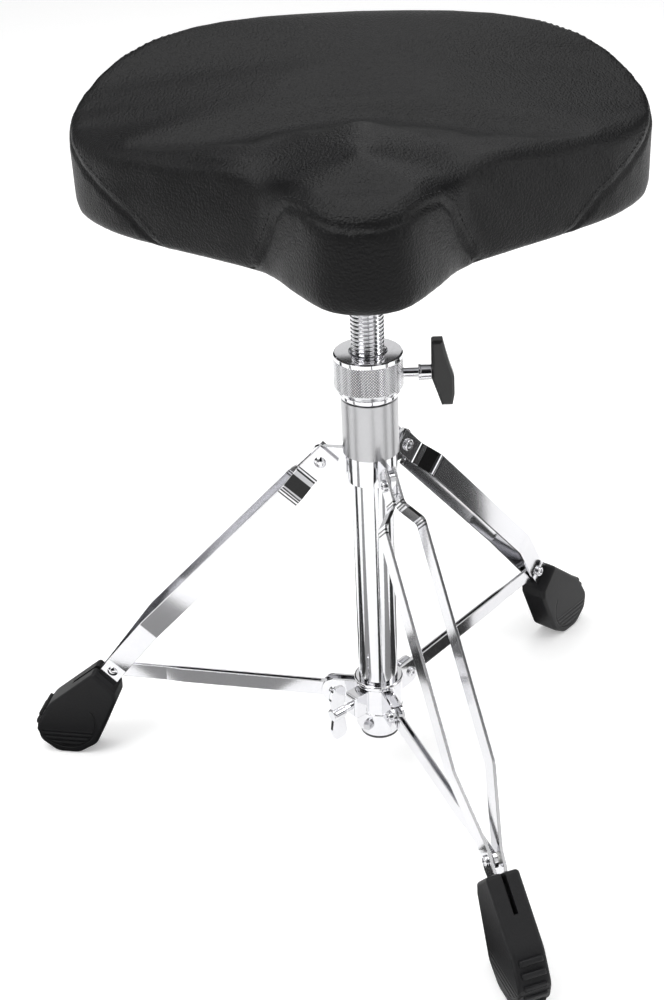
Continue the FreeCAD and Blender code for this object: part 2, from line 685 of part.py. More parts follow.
def slide_collar():
    """The twelve-sided collar that slides on the tube, with a lip, three forks and a boss."""
    step = 2 * math.pi / SLIDER_FLATS
    corner_r = SLIDER_R / math.cos(step / 2)
    first = math.radians(LEG_AZIMUTHS[0]) + step / 2
    points = []
    for i in range(SLIDER_FLATS):
        angle = first + i * step
        points.append(Vector(corner_r * math.cos(angle), corner_r * math.sin(angle), SLIDER_BOTTOM))
    body = extruded(Part.makePolygon(points + points[:1]), Vector(0, 0, SLIDER_TOP - SLIDER_BOTTOM))
    lip = cylinder(SLIDER_LIP_R, SLIDER_TOP, SLIDER_TOP + SLIDER_LIP_HEIGHT)
    rims = [edge for edge in lip.Edges if edge.Curve.TypeId == "Part::GeomCircle"]
    lip = lip.makeFillet(SLIDER_LIP_ROUND, rims)
    half = WING_BOSS_WIDTH / 2
    low = BRACE_PIVOT_Z - WING_BOSS_HEIGHT / 2
    high = BRACE_PIVOT_Z + WING_BOSS_HEIGHT / 2
    boss = box(TUBE_R + TUBE_WALL, WING_BOSS_R, -half, half, low, high)
    rims = [edge for edge in boss.Edges if edge.CenterOfMass.x > WING_BOSS_R - 0.01]
    boss = boss.makeFillet(2.0, rims)
    parts = [lip, around(boss, WING_AZIMUTH)]
    for azimuth in LEG_AZIMUTHS:
        parts.extend(around(plate, azimuth) for plate in fork_ear())
    body = body.fuse(parts).removeSplitter()
    top = SLIDER_TOP + SLIDER_LIP_HEIGHT
    body = body.cut(cylinder(TUBE_R + RUN_CLEARANCE, SLIDER_BOTTOM, top))
    hole = rod_x(WING_SCREW_R + RUN_CLEARANCE, TUBE_R, WING_BOSS_R, BRACE_PIVOT_Z)
    return body.cut(around(hole, WING_AZIMUTH)).Solids[0]


def slide_collar_rivets():
    """The three rivets that hold the braces in the forks, as a group of three solids."""
    pin = rivet(PIN_RIVET_R, PIN_RIVET_HEAD_R, FORK_GAP + FORK_THICKNESS, BRACE_PIVOT_R,
                BRACE_PIVOT_Z)
    return Part.makeCompound([around(pin, azimuth) for azimuth in LEG_AZIMUTHS])


def clamp_screw():
    """The threaded shank that presses on the tube."""
    end = WING_BOSS_R + WING_SCREW_SHOWN + WING_TANG_LENGTH
    shank = rod_x(WING_SCREW_R, TUBE_R + REST_GAP, end, BRACE_PIVOT_Z)
    return around(shank, WING_AZIMUTH)


def clamp_wing():
    """The wing cast round the end of the clamp screw, with one wing up and one down."""
    start = WING_BOSS_R + WING_SCREW_SHOWN
    end = start + WING_HUB_LENGTH
    z = BRACE_PIVOT_Z
    hub = rod_x(WING_HUB_R, start, end, z)
    rims = [edge for edge in hub.Edges if edge.Curve.TypeId == "Part::GeomCircle"]
    hub = hub.makeFillet(1.2, rims)
    outline = (
        (start + 1.5, 0.0, 0.5),
        (end - 1.5, 0.0, 0.5),
        (end + 1.0, WING_REACH * 0.62, 8.0),
        (end - 1.5, WING_REACH, 4.0),
        (start - 2.5, WING_REACH, 5.0),
        (start - 1.5, WING_REACH * 0.5, 8.0),
    )
    points = [Vector(x, up, 0) for x, up, _ in outline]
    wire = leg_plane(rounded_outline(points, [radius for _, _, radius in outline]))
    wing = extruded(wire, Vector(0, WING_THICKNESS, 0))
    wing.translate(Vector(0, -WING_THICKNESS / 2, z))
    other = wing.mirror(Vector(0, 0, z), Vector(0, 0, 1))
    wings = hub.fuse([wing, other]).removeSplitter()
    hole = rod_x(WING_SCREW_R + RUN_CLEARANCE, start, start + WING_TANG_LENGTH + REST_GAP, z)
    return around(wings.cut(hole), WING_AZIMUTH).Solids[0]


# ---- lock collar, its screw and the spindle -----------------------------------------------------

def lock_collar():
    """The collar threaded on the spindle, sunk round the spindle at its top."""
    profile = (
        (BORE_R, COLLAR_BOTTOM),
        (COLLAR_FOOT_R, COLLAR_BOTTOM),
        (COLLAR_R, COLLAR_BOTTOM + COLLAR_FOOT_CHAMFER),
        (COLLAR_R, COLLAR_TOP - COLLAR_TOP_CHAMFER),
        (COLLAR_R - COLLAR_TOP_CHAMFER, COLLAR_TOP),
        (COLLAR_SINK_R, COLLAR_TOP),
        (BORE_R, COLLAR_TOP - COLLAR_SINK_DEPTH),
    )
    hole = rod_x(LOCK_STUD_R + RUN_CLEARANCE, SPINDLE_R, COLLAR_R + 1, LOCK_SCREW_Z)
    return revolved(profile).cut(hole)


def lock_screw_places():
    """Where the lock screw's stud starts, its flange, its boss and its tang end, along X."""
    tip = SPINDLE_R + REST_GAP
    flange = tip + LOCK_STUD_LENGTH
    boss = flange + LOCK_FLANGE_T
    handle = boss + LOCK_BOSS_LENGTH
    return tip, flange, boss, handle


def lock_screw_stud():
    """The lock screw's threaded stud with its flange and boss, and a tang in the handle."""
    tip, flange, boss, handle = lock_screw_places()
    z = LOCK_SCREW_Z
    stud = rod_x(LOCK_STUD_R, tip, flange, z)
    ring = rod_x(LOCK_FLANGE_R, flange, boss, z)
    body = rod_x(LOCK_BOSS_R, boss, handle, z)
    tang = rod_x(LOCK_TANG_R, handle, handle + LOCK_TANG_LENGTH, z)
    return stud.fuse([ring, body, tang]).removeSplitter()


def lock_screw_handle():
    """The moulded T handle, its edges chamfered."""
    handle = lock_screw_places()[3]
    z = LOCK_SCREW_Z
    points = [Vector(handle + out, -HANDLE_WIDTH / 2, z + up) for out, up in HANDLE_OUTLINE]
    body = extruded(Part.makePolygon(points + points[:1]), Vector(0, HANDLE_WIDTH, 0))
    rims = [edge for edge in body.Edges if abs(edge.CenterOfMass.y) > HANDLE_WIDTH / 2 - 0.01]
    body = body.makeChamfer(HANDLE_CHAMFER, rims)
    hole = rod_x(LOCK_TANG_R + RUN_CLEARANCE, handle, handle + LOCK_TANG_LENGTH + REST_GAP, z)
    return body.cut(hole).Solids[0]


def spindle():
    """The threaded spindle, at the thread's outer diameter, with a plain pin on top."""
    bottom = COLLAR_TOP - SPINDLE_BELOW
    c = SPINDLE_CHAMFER
    profile = (
        (0.0, bottom),
        (SPINDLE_R - c, bottom),
        (SPINDLE_R, bottom + c),
        (SPINDLE_R, SOCKET_BOTTOM - c - REST_GAP),
        (SPINDLE_R - c, SOCKET_BOTTOM - REST_GAP),
        (SPINDLE_PIN_R, SOCKET_BOTTOM - REST_GAP),
        (SPINDLE_PIN_R, SPINDLE_TOP - 1.0),
        (SPINDLE_PIN_R - 1.0, SPINDLE_TOP),
        (0.0, SPINDLE_TOP),
    )
    return revolved(profile)


# ---- seat ---------------------------------------------------------------------------------------

def seat_wire(inset, z):
    """The seat's outline as one smooth closed curve, moved inwards by the inset."""
    right = list(SEAT_HALF_OUTLINE)
    left = [(-x, y) for x, y in reversed(right[1:-1])]
    outline = right + left
    count = len(outline)
    points = []
    for i, (x, y) in enumerate(outline):
        before = outline[i - 1]
        after = outline[(i + 1) % count]
        dx = after[0] - before[0]
        dy = after[1] - before[1]
        length = math.hypot(dx, dy)
        points.append(Vector(x - dy / length * inset, y + dx / length * inset, z))
    curve = Part.BSplineCurve()
    curve.interpolate(Points=points, PeriodicFlag=True)
    return Part.Wire([curve.toShape()])


def seat_solid(inset, z_low, top_inset):
    """The seat's body between a level and its saddle-shaped top, lowered by the top inset."""
    tallest = SEAT_BOTTOM + SEAT_TOP_PROFILE[-1][1]
    body = extruded(seat_wire(inset, z_low), Vector(0, 0, tallest - z_low))
    reach = SEAT_HALF_OUTLINE[7][0] * 1.5
    line = [Vector(-reach, y, SEAT_BOTTOM + up - top_inset) for y, up in SEAT_TOP_PROFILE]
    curve = Part.BSplineCurve()
    curve.interpolate(Points=line)
    high = tallest + SEAT_TOP_PROFILE[-1][1]
    start, end = line[0], line[-1]
    edges = [
        curve.toShape(),
        Part.LineSegment(end, Vector(-reach, end.y, high)).toShape(),
        Part.LineSegment(Vector(-reach, end.y, high), Vector(-reach, start.y, high)).toShape(),
        Part.LineSegment(Vector(-reach, start.y, high), start).toShape(),
    ]
    above = extruded(Part.Wire(edges), Vector(2 * reach, 0, 0))
    return body.cut(above)


def rounded_seat_solid(inset, z_low, top_inset, radius):
    """The seat's body with its top edge rounded."""
    body = seat_solid(inset, z_low, top_inset)
    rims = [edge for edge in body.Edges if edge.BoundBox.ZMin > z_low + SEAT_ROUND
            and edge.BoundBox.XLength > 1.0]
    return body.makeFillet(radius, rims)


def seat_cover():
    """The upholstery: a skin over the foam, turned in under the board as a hem."""
    outer = rounded_seat_solid(0.0, SEAT_BOTTOM, 0.0, SEAT_ROUND)
    inner = rounded_seat_solid(COVER_THICKNESS, BOARD_BOTTOM, COVER_THICKNESS,
                               SEAT_ROUND - COVER_THICKNESS)
    opening = extruded(seat_wire(HEM_WIDTH, SEAT_BOTTOM), Vector(0, 0, COVER_THICKNESS))
    return outer.cut(inner).cut(opening).Solids[0]


def bolt_places():
    """The four bolt positions of the seat bracket."""
    half = BRACKET_BOLT_SPACING / 2
    return [(x, y) for x in (-half, half) for y in (-half, half)]


def seat_foam():
    """The foam between the board and the cover, with pockets for the tee nuts."""
    inset = COVER_THICKNESS + SEAT_GAP
    foam = rounded_seat_solid(inset, BOARD_TOP + SEAT_GAP, inset, SEAT_ROUND - inset)
    top = BOARD_TOP + SEAT_GAP
    high = BOARD_TOP + TEE_NUT_FLANGE_T + SEAT_GAP
    pockets = [cylinder(TEE_NUT_FLANGE_R + 1, top, high, x, y) for x, y in bolt_places()]
    return foam.cut(pockets).Solids[0]


def seat_board():
    """The plywood board, bored for the tee nuts."""
    wire = seat_wire(COVER_THICKNESS + BOARD_INSET, BOARD_BOTTOM + SEAT_GAP)
    board = extruded(wire, Vector(0, 0, BOARD_THICKNESS - SEAT_GAP))
    holes = [cylinder(TEE_NUT_R, BOARD_BOTTOM, BOARD_TOP, x, y) for x, y in bolt_places()]
    return board.cut(holes)


def seat_dust_cover():
    """The dust cover inside the hem, pierced for the bracket's bolts."""
    wire = seat_wire(HEM_WIDTH + SEAT_GAP, SEAT_BOTTOM)
    sheet = extruded(wire, Vector(0, 0, COVER_THICKNESS))
    bolt_r = BRACKET_BOLT_R + RUN_CLEARANCE
    holes = [cylinder(bolt_r, SEAT_BOTTOM, BOARD_BOTTOM, x, y) for x, y in bolt_places()]
    return sheet.cut(holes)


def seat_bracket():
    """The plate bolted under the board, with the socket for the spindle's pin."""
    half = BRACKET_SIZE / 2
    points = [Vector(x, y, PLATE_BOTTOM) for x, y in
              ((-half, -half), (half, -half), (half, half), (-half, half))]
    plate = extruded(rounded_outline(points, [BRACKET_CORNER] * 4), Vector(0, 0, BRACKET_PLATE))
    socket = cylinder(BRACKET_SOCKET_R, SOCKET_BOTTOM, PLATE_BOTTOM)
    cone = Part.makeCone(BRACKET_SOCKET_R, BRACKET_GUSSET_R, BRACKET_GUSSET_H,
                         Vector(0, 0, PLATE_BOTTOM - BRACKET_GUSSET_H))
    bracket = plate.fuse([socket, cone]).removeSplitter()
    bracket = bracket.cut(cylinder(SPINDLE_PIN_R + RUN_CLEARANCE, SOCKET_BOTTOM, PLATE_BOTTOM))
    bolt_r = BRACKET_BOLT_R + RUN_CLEARANCE
    bracket = bracket.cut([cylinder(bolt_r, PLATE_BOTTOM, SEAT_BOTTOM, x, y)
                           for x, y in bolt_places()])
    hole = rod_x(SOCKET_SCREW_R, SPINDLE_PIN_R, BRACKET_SOCKET_R + 1, socket_screw_z())
    return bracket.cut(around(hole, SOCKET_SCREW_AZIMUTH))


def socket_screw_z():
    """The height of the screw that clamps the socket."""
    return (SOCKET_BOTTOM + PLATE_BOTTOM - BRACKET_GUSSET_H) / 2


def seat_clamp_screw():
    """The screw that clamps the socket on the spindle's pin."""
    z = socket_screw_z()
    face = BRACKET_SOCKET_R + REST_GAP
    end = face + SOCKET_SCREW_HEAD_H
    screw = rod_x(SOCKET_SCREW_R, SPINDLE_PIN_R + REST_GAP, face, z)
    screw = screw.fuse(rod_x(SOCKET_SCREW_HEAD_R, face, end, z)).removeSplitter()
    hexagon = []
    for i in range(6):
        angle = math.pi / 3 * i
        r = SOCKET_SCREW_R
        hexagon.append(Vector(face + 2, r * math.cos(angle), z + r * math.sin(angle)))
    recess = extruded(Part.makePolygon(hexagon + hexagon[:1]), Vector(SOCKET_SCREW_HEAD_H, 0, 0))
    return around(screw.cut(recess), SOCKET_SCREW_AZIMUTH)


def bracket_bolts():
    """The four bolts up through the bracket's plate, as a group of four solids."""
    bolts = []
    for x, y in bolt_places():
        head = cylinder(BRACKET_BOLT_HEAD_R, PLATE_BOTTOM - BRACKET_BOLT_HEAD_H, PLATE_BOTTOM, x, y)
        rims = [edge for edge in head.Edges if edge.CenterOfMass.z < PLATE_BOTTOM - 1]
        head = head.makeFillet(1.0, [edge for edge in rims
                                     if edge.Curve.TypeId == "Part::GeomCircle"])
        shank = cylinder(BRACKET_BOLT_R, PLATE_BOTTOM, BOARD_TOP, x, y)
        bolts.append(head.fuse(shank).removeSplitter())
    return Part.makeCompound(bolts)


def bracket_tee_nuts():
    """The four tee nuts sunk in the board, as a group of four solids."""
    nuts = []
    low = BOARD_BOTTOM + SEAT_GAP
    for x, y in bolt_places():
        barrel = cylinder(TEE_NUT_R, low, BOARD_TOP, x, y)
        flange = cylinder(TEE_NUT_FLANGE_R, BOARD_TOP, BOARD_TOP + TEE_NUT_FLANGE_T, x, y)
        nut = barrel.fuse(flange).removeSplitter()
        nuts.append(nut.cut(cylinder(BRACKET_BOLT_R, low, BOARD_TOP, x, y)))
    return Part.makeCompound(nuts)


# ---- all nodes ----------------------------------------------------------------------------------

def leg_nodes(number, azimuth):
    """The nodes of one leg and its brace, turned to their azimuth."""
    left = leg_bar()
    right = mirrored(left)
    shapes = {
        f"leg_{number}_bar_left": left,
        f"leg_{number}_bar_right": right,
        f"leg_{number}_pivot_rivet": leg_pivot_rivet(),
        f"leg_{number}_brace_studs": leg_brace_studs(),
        f"leg_{number}_spacers": leg_spacers(),
        f"leg_{number}_foot": leg_foot((left, right)),
        f"brace_{number}": brace(),
        f"brace_{number}_pin": brace_pin(),
    }
    return {name: around(shape, azimuth) for name, shape in shapes.items()}


def all_nodes():
    """Every node of the throne by name."""
    nodes = {
        "main_tube": main_tube(),
        "tube_end_cap": tube_end_cap(),
        "leg_hub": leg_hub(),
        "top_sleeve": top_sleeve(),
        "guide_bush": guide_bush(),
        "thrust_ring": thrust_ring(),
        "stop_ring": stop_ring(),
        "stop_ring_screw": stop_ring_screw(),
        "slide_collar": slide_collar(),
        "slide_collar_rivets": slide_collar_rivets(),
        "clamp_screw": clamp_screw(),
        "clamp_wing": clamp_wing(),
        "lock_collar": lock_collar(),
        "lock_screw_stud": lock_screw_stud(),
        "lock_screw_handle": lock_screw_handle(),
        "spindle": spindle(),
        "seat_cover": seat_cover(),
        "seat_foam": seat_foam(),
        "seat_board": seat_board(),
        "seat_dust_cover": seat_dust_cover(),
        "seat_bracket": seat_bracket(),
        "seat_clamp_screw": seat_clamp_screw(),
        "bracket_bolts": bracket_bolts(),
        "bracket_tee_nuts": bracket_tee_nuts(),
    }
    for number, azimuth in enumerate(LEG_AZIMUTHS, start=1):
        nodes.update(leg_nodes(number, azimuth))
    return nodes


os.makedirs("parts", exist_ok=True)
for node_name, node_shape in all_nodes().items():
    node_shape.exportStep(f"parts/{node_name}.step")
print(f"brace pin at radius {PIN_R:.2f}, hub pivot at height {HUB_PIVOT_Z:.2f}")
print(f"brace pivot at height {BRACE_PIVOT_Z:.2f}, brace length {BRACE_LENGTH:.2f}")
print(f"lock screw at height {LOCK_SCREW_Z:.2f}, collar top {COLLAR_TOP:.2f}")
print(f"seat underside at height {SEAT_BOTTOM:.2f}")
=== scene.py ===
"""Drum throne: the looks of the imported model, in the frame that it loads. Metres, +Z up."""
import json
import logging
import math
from dataclasses import dataclass, field
from enum import Enum
from typing import Callable, Dict, List, Optional, Sequence, Tuple

import bpy
import numpy as np
from mathutils import Matrix, Vector
from mathutils.bvhtree import BVHTree
from mathutils.kdtree import KDTree


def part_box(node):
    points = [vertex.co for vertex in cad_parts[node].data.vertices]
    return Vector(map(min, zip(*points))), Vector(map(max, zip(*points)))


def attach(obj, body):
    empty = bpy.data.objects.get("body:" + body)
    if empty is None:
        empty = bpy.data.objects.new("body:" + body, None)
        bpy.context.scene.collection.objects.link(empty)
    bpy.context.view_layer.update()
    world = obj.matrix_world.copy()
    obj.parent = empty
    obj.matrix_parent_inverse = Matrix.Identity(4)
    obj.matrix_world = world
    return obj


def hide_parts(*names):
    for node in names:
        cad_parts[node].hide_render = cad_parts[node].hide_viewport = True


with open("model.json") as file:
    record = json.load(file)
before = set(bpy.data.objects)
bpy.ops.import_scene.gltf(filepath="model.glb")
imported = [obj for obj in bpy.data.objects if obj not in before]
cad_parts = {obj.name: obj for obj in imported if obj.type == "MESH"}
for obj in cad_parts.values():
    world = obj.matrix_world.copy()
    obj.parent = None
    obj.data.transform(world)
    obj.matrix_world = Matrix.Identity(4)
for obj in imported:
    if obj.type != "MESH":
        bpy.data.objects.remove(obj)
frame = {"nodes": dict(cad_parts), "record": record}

logging.basicConfig(level=logging.INFO, format="%(levelname)s %(message)s")
LOG = logging.getLogger("throne")

MM = 0.001
LEG_AZIMUTHS = (50.0, 170.0, 290.0)
LEG_SPREAD = math.radians(41.77)
HUB_PIVOT = (0.0393, 0.29668)
FOOT_CENTRE = (0.2749, 0.034)
SEAT_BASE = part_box("seat_cover")[0][2]
PITCH = 0.003175
BANDS_MM = ((14.0, 15.3), (16.6, 17.9), (21.0, 31.0), (34.1, 35.4), (36.7, 38.0))
KNURL_RATE = 36.0           # the knurl's phase, in radians per radian round the collar
COLLAR_RADIUS = 0.026
PLY = 0.003


class Finish(Enum):
    """The finishes that the throne's pieces wear."""

    CHROME = "chrome"
    BAR = "bar_chrome"
    SATIN = "satin_steel"
    ZINC = "zinc_steel"
    RUBBER = "black_rubber"
    PLASTIC = "black_plastic"
    NYLON = "white_nylon"
    LEATHER = "leatherette"
    THREAD = "stitch_thread"
    FOAM = "foam"
    WOOD = "plywood"
    CLOTH = "dust_cloth"


@dataclass(frozen=True)
class Surface:
    """Numbers of one finish: colour, metal share, roughness and its spread, coat, specular."""

    color: Tuple[float, float, float]
    metallic: float
    roughness: float
    spread: float = 0.03
    coat: float = 0.0
    specular: float = 0.5


SURFACES: Dict[Finish, Surface] = {
    Finish.CHROME: Surface((0.80, 0.80, 0.82), 1.0, 0.07, 0.05),
    Finish.BAR: Surface((0.78, 0.78, 0.80), 1.0, 0.10, 0.06),
    Finish.SATIN: Surface((0.50, 0.50, 0.51), 1.0, 0.30, 0.05),
    Finish.ZINC: Surface((0.58, 0.58, 0.60), 1.0, 0.30, 0.10),
    Finish.RUBBER: Surface((0.007, 0.007, 0.008), 0.0, 0.50, 0.12, specular=0.3),
    Finish.PLASTIC: Surface((0.012, 0.012, 0.012), 0.0, 0.34, 0.10),
    Finish.NYLON: Surface((0.80, 0.80, 0.77), 0.0, 0.40, 0.05),
    Finish.LEATHER: Surface((0.003, 0.003, 0.0033), 0.0, 0.40, 0.12, specular=0.2),
    Finish.THREAD: Surface((0.016, 0.016, 0.017), 0.0, 0.55, 0.10, specular=0.3),
    Finish.FOAM: Surface((0.62, 0.57, 0.42), 0.0, 0.90, 0.05),
    Finish.WOOD: Surface((0.55, 0.38, 0.22), 0.0, 0.60, 0.08),
    Finish.CLOTH: Surface((0.020, 0.020, 0.021), 0.0, 0.90, 0.06),
}


# ---- shader graphs ------------------------------------------------------------------------------

class Graph:
    """A short hand for building a node tree."""

    def __init__(self, tree: bpy.types.NodeTree) -> None:
        """Args: tree: the tree that the nodes go in."""
        self.tree = tree

    def node(self, kind: str, **settings: object) -> bpy.types.Node:
        """Add a node.

        Args:
            kind: the node's type name.
            settings: attributes to set on it.
        Returns:
            The new node.
        """
        made = self.tree.nodes.new(kind)
        for name, value in settings.items():
            setattr(made, name, value)
        return made

    def feed(self, socket: bpy.types.NodeSocket, value: object) -> None:
        """Link a socket, or set its value. Args: socket: the input. value: an output or a number."""
        if isinstance(value, bpy.types.NodeSocket):
            self.tree.links.new(value, socket)
        else:
            socket.default_value = value

    def math(self, operation: str, *values: object, clamp: bool = False) -> bpy.types.NodeSocket:
        """Add a math node.

        Args:
            operation: its operation.
            values: its inputs.
            clamp: keep the result within 0 and 1.
        Returns:
            The result's socket.
        """
        made = self.node("ShaderNodeMath", operation=operation, use_clamp=clamp)
        for socket, value in zip(made.inputs, values):
            self.feed(socket, value)
        return made.outputs[0]

    def band(self, value: object, low: float, high: float, soft: float) -> bpy.types.NodeSocket:
        """A mask that is 1 between two limits, with soft ends.

        Args:
            value: what is tested.
            low: the lower limit.
            high: the upper limit.
            soft: width of each soft end.
        Returns:
            The mask's socket.
        """
        up = self.math("DIVIDE", self.math("SUBTRACT", value, low), soft, clamp=True)
        down = self.math("DIVIDE", self.math("SUBTRACT", high, value), soft, clamp=True)
        return self.math("MULTIPLY", up, down)

    def mix(self, factor: object, a: object, b: object) -> bpy.types.NodeSocket:
        """Mix two colours. Args: factor: share of b. a, b: the colours. Returns: the mix."""
        made = self.node("ShaderNodeMix", data_type="RGBA")
        self.feed(made.inputs[0], factor)
        self.feed(made.inputs[6], a)
        self.feed(made.inputs[7], b)
        return made.outputs[2]

    def noise(self, vector: object, scale: float, detail: float = 3.0) -> bpy.types.NodeSocket:
        """A noise texture's value. Args: vector: coordinates. scale, detail: its size and detail.
        Returns: the value's socket."""
        made = self.node("ShaderNodeTexNoise")
        self.feed(made.inputs["Vector"], vector)
        made.inputs["Scale"].default_value = scale
        made.inputs["Detail"].default_value = detail
        return made.outputs["Fac"]

    def coordinates(self) -> bpy.types.NodeSocket:
        """Object coordinates. Returns: the vector's socket."""
        return self.node("ShaderNodeTexCoord").outputs["Object"]


def rgba(color: Sequence[float], share: float = 1.0) -> Tuple[float, float, float, float]:
    """A colour as four numbers. Args: color: three numbers. share: brightness. Returns: RGBA."""
    return (color[0] * share, color[1] * share, color[2] * share, 1.0)


def make_wear_group() -> bpy.types.NodeTree:
    """A shared group that varies a roughness with smudges and fine dust.

    Returns:
        The group, with inputs Roughness and Spread and outputs Roughness and Smudge.
    """
    group = bpy.data.node_groups.new("smudged_roughness", "ShaderNodeTree")
    group.interface.new_socket("Roughness", in_out="INPUT", socket_type="NodeSocketFloat")
    group.interface.new_socket("Spread", in_out="INPUT", socket_type="NodeSocketFloat")
    group.interface.new_socket("Roughness", in_out="OUTPUT", socket_type="NodeSocketFloat")
    group.interface.new_socket("Smudge", in_out="OUTPUT", socket_type="NodeSocketFloat")
    graph = Graph(group)
    source = graph.node("NodeGroupInput")
    sink = graph.node("NodeGroupOutput")
    where = graph.coordinates()
    large = graph.noise(where, 22.0, 4.0)
    fine = graph.noise(where, 380.0, 2.0)
    smudge = graph.math("MULTIPLY", large, fine)
    shift = graph.math("MULTIPLY", graph.math("SUBTRACT", smudge, 0.2), source.outputs["Spread"])
    rough = graph.math("ADD", source.outputs["Roughness"], shift, clamp=True)
    graph.feed(sink.inputs["Roughness"], rough)
    graph.feed(sink.inputs["Smudge"], smudge)
    return group


class MaterialMaker:
    """Makes each finish's material once and hands it out."""

    def __init__(self) -> None:
        """Start with the shared group and no materials."""
        self.wear = make_wear_group()
        self.made: Dict[str, bpy.types.Material] = {}
        self.details: Dict[Finish, Callable[[Graph, bpy.types.Node, Surface], None]] = {
            Finish.CHROME: self.plain,
            Finish.BAR: self.banded,
            Finish.SATIN: self.brushed,
            Finish.ZINC: self.plain,
            Finish.RUBBER: self.ribbed,
            Finish.PLASTIC: self.grained,
            Finish.NYLON: self.grained,
            Finish.LEATHER: self.pebbled,
            Finish.THREAD: self.twisted,
            Finish.FOAM: self.grained,
            Finish.WOOD: self.plied,
            Finish.CLOTH: self.grained,
        }

    def get(self, finish: Finish, knurled: bool = False) -> bpy.types.Material:
        """The material of a finish.

        Args:
            finish: which one.
            knurled: a chrome with the lock collar's knurl.
        Returns:
            The material, made on first use.
        """
        name = finish.value + ("_knurled" if knurled else "")
        if name not in self.made:
            self.made[name] = self.make(name, finish, knurled)
        return self.made[name]

    def make(self, name: str, finish: Finish, knurled: bool) -> bpy.types.Material:
        """Build one material. Args: name, finish, knurled: as for get. Returns: the material."""
        surface = SURFACES[finish]
        material = bpy.data.materials.new(name)
        material.use_nodes = True
        material.diffuse_color = rgba(surface.color)
        graph = Graph(material.node_tree)
        shader = material.node_tree.nodes["Principled BSDF"]
        shader.inputs["Metallic"].default_value = surface.metallic
        shader.inputs["Coat Weight"].default_value = surface.coat
        shader.inputs["Specular IOR Level"].default_value = surface.specular
        wear = graph.node("ShaderNodeGroup", node_tree=self.wear)
        wear.inputs["Roughness"].default_value = surface.roughness
        wear.inputs["Spread"].default_value = surface.spread
        graph.feed(shader.inputs["Roughness"], wear.outputs["Roughness"])
        tint = graph.mix(wear.outputs["Smudge"], rgba(surface.color), rgba(surface.color, 0.86))
        graph.feed(shader.inputs["Base Color"], tint)
        if knurled:
            self.knurl(graph, shader)
        else:
            self.details[finish](graph, shader, surface)
        LOG.info("material %s", name)
        return material

    @staticmethod
    def bump(graph: Graph, shader: bpy.types.Node, height: object, distance: float,
             normal: Optional[bpy.types.NodeSocket] = None) -> None:
        """Feed a height to the shader's normal.

        Args:
            graph, shader: where it goes.
            height: the height's socket.
            distance: metres that a height of 1 stands for.
            normal: a normal to start from.
        """
        node = graph.node("ShaderNodeBump")
        node.inputs["Distance"].default_value = distance
        graph.feed(node.inputs["Height"], height)
        if normal is not None:
            graph.feed(node.inputs["Normal"], normal)
        graph.feed(shader.inputs["Normal"], node.outputs["Normal"])

    @staticmethod
    def rounded(graph: Graph) -> bpy.types.NodeSocket:
        """A normal with softly rounded edges. Args: graph: where. Returns: the normal."""
        node = graph.node("ShaderNodeBevel", samples=6)
        node.inputs["Radius"].default_value = 0.0005
        return node.outputs["Normal"]

    def plain(self, graph: Graph, shader: bpy.types.Node, surface: Surface) -> None:
        """Polished or plated metal. Args: graph, shader, surface: what to build on."""
        height = graph.noise(graph.coordinates(), 900.0)
        self.bump(graph, shader, height, 0.00001, self.rounded(graph))

    def leg_coordinates(self, graph: Graph) -> Tuple[object, object]:
        """Distance from the tube's axis and height. Args: graph: where. Returns: both."""
        parts = graph.node("ShaderNodeSeparateXYZ")
        graph.feed(parts.inputs[0], graph.coordinates())
        squares = graph.math("ADD", graph.math("MULTIPLY", parts.outputs[0], parts.outputs[0]),
                             graph.math("MULTIPLY", parts.outputs[1], parts.outputs[1]))
        return graph.math("SQRT", squares), parts.outputs[2]

    def banded(self, graph: Graph, shader: bpy.types.Node, surface: Surface) -> None:
        """Chrome bars with black bands near the hub. Args: graph, shader, surface: as for plain."""
        self.plain(graph, shader, surface)
        out, up = self.leg_coordinates(graph)
        sideways = graph.math("MULTIPLY", graph.math("SUBTRACT", out, HUB_PIVOT[0]),
                              math.sin(LEG_SPREAD))
        downways = graph.math("MULTIPLY", graph.math("SUBTRACT", HUB_PIVOT[1], up),
                              math.cos(LEG_SPREAD))
        along = graph.math("ADD", sideways, downways)
        mask: object = 0.0
        for low, high in BANDS_MM:
            band = graph.band(along, low * MM, high * MM, 0.1 * MM)
            mask = graph.math("MAXIMUM", mask, band)
        base = shader.inputs["Base Color"].links[0].from_socket
        graph.feed(shader.inputs["Base Color"], graph.mix(mask, base, (0.01, 0.01, 0.01, 1.0)))
        metal = graph.math("SUBTRACT", 1.0, mask)
        graph.feed(shader.inputs["Metallic"], metal)

    def brushed(self, graph: Graph, shader: bpy.types.Node, surface: Surface) -> None:
        """Steel brushed round its axis. Args: graph, shader, surface: as for plain."""
        mapping = graph.node("ShaderNodeMapping")
        mapping.inputs["Scale"].default_value = (20.0, 20.0, 3500.0)
        graph.feed(mapping.inputs["Vector"], graph.coordinates())
        lines = graph.noise(mapping.outputs[0], 1.0, 2.0)
        self.bump(graph, shader, lines, 0.000006, self.rounded(graph))

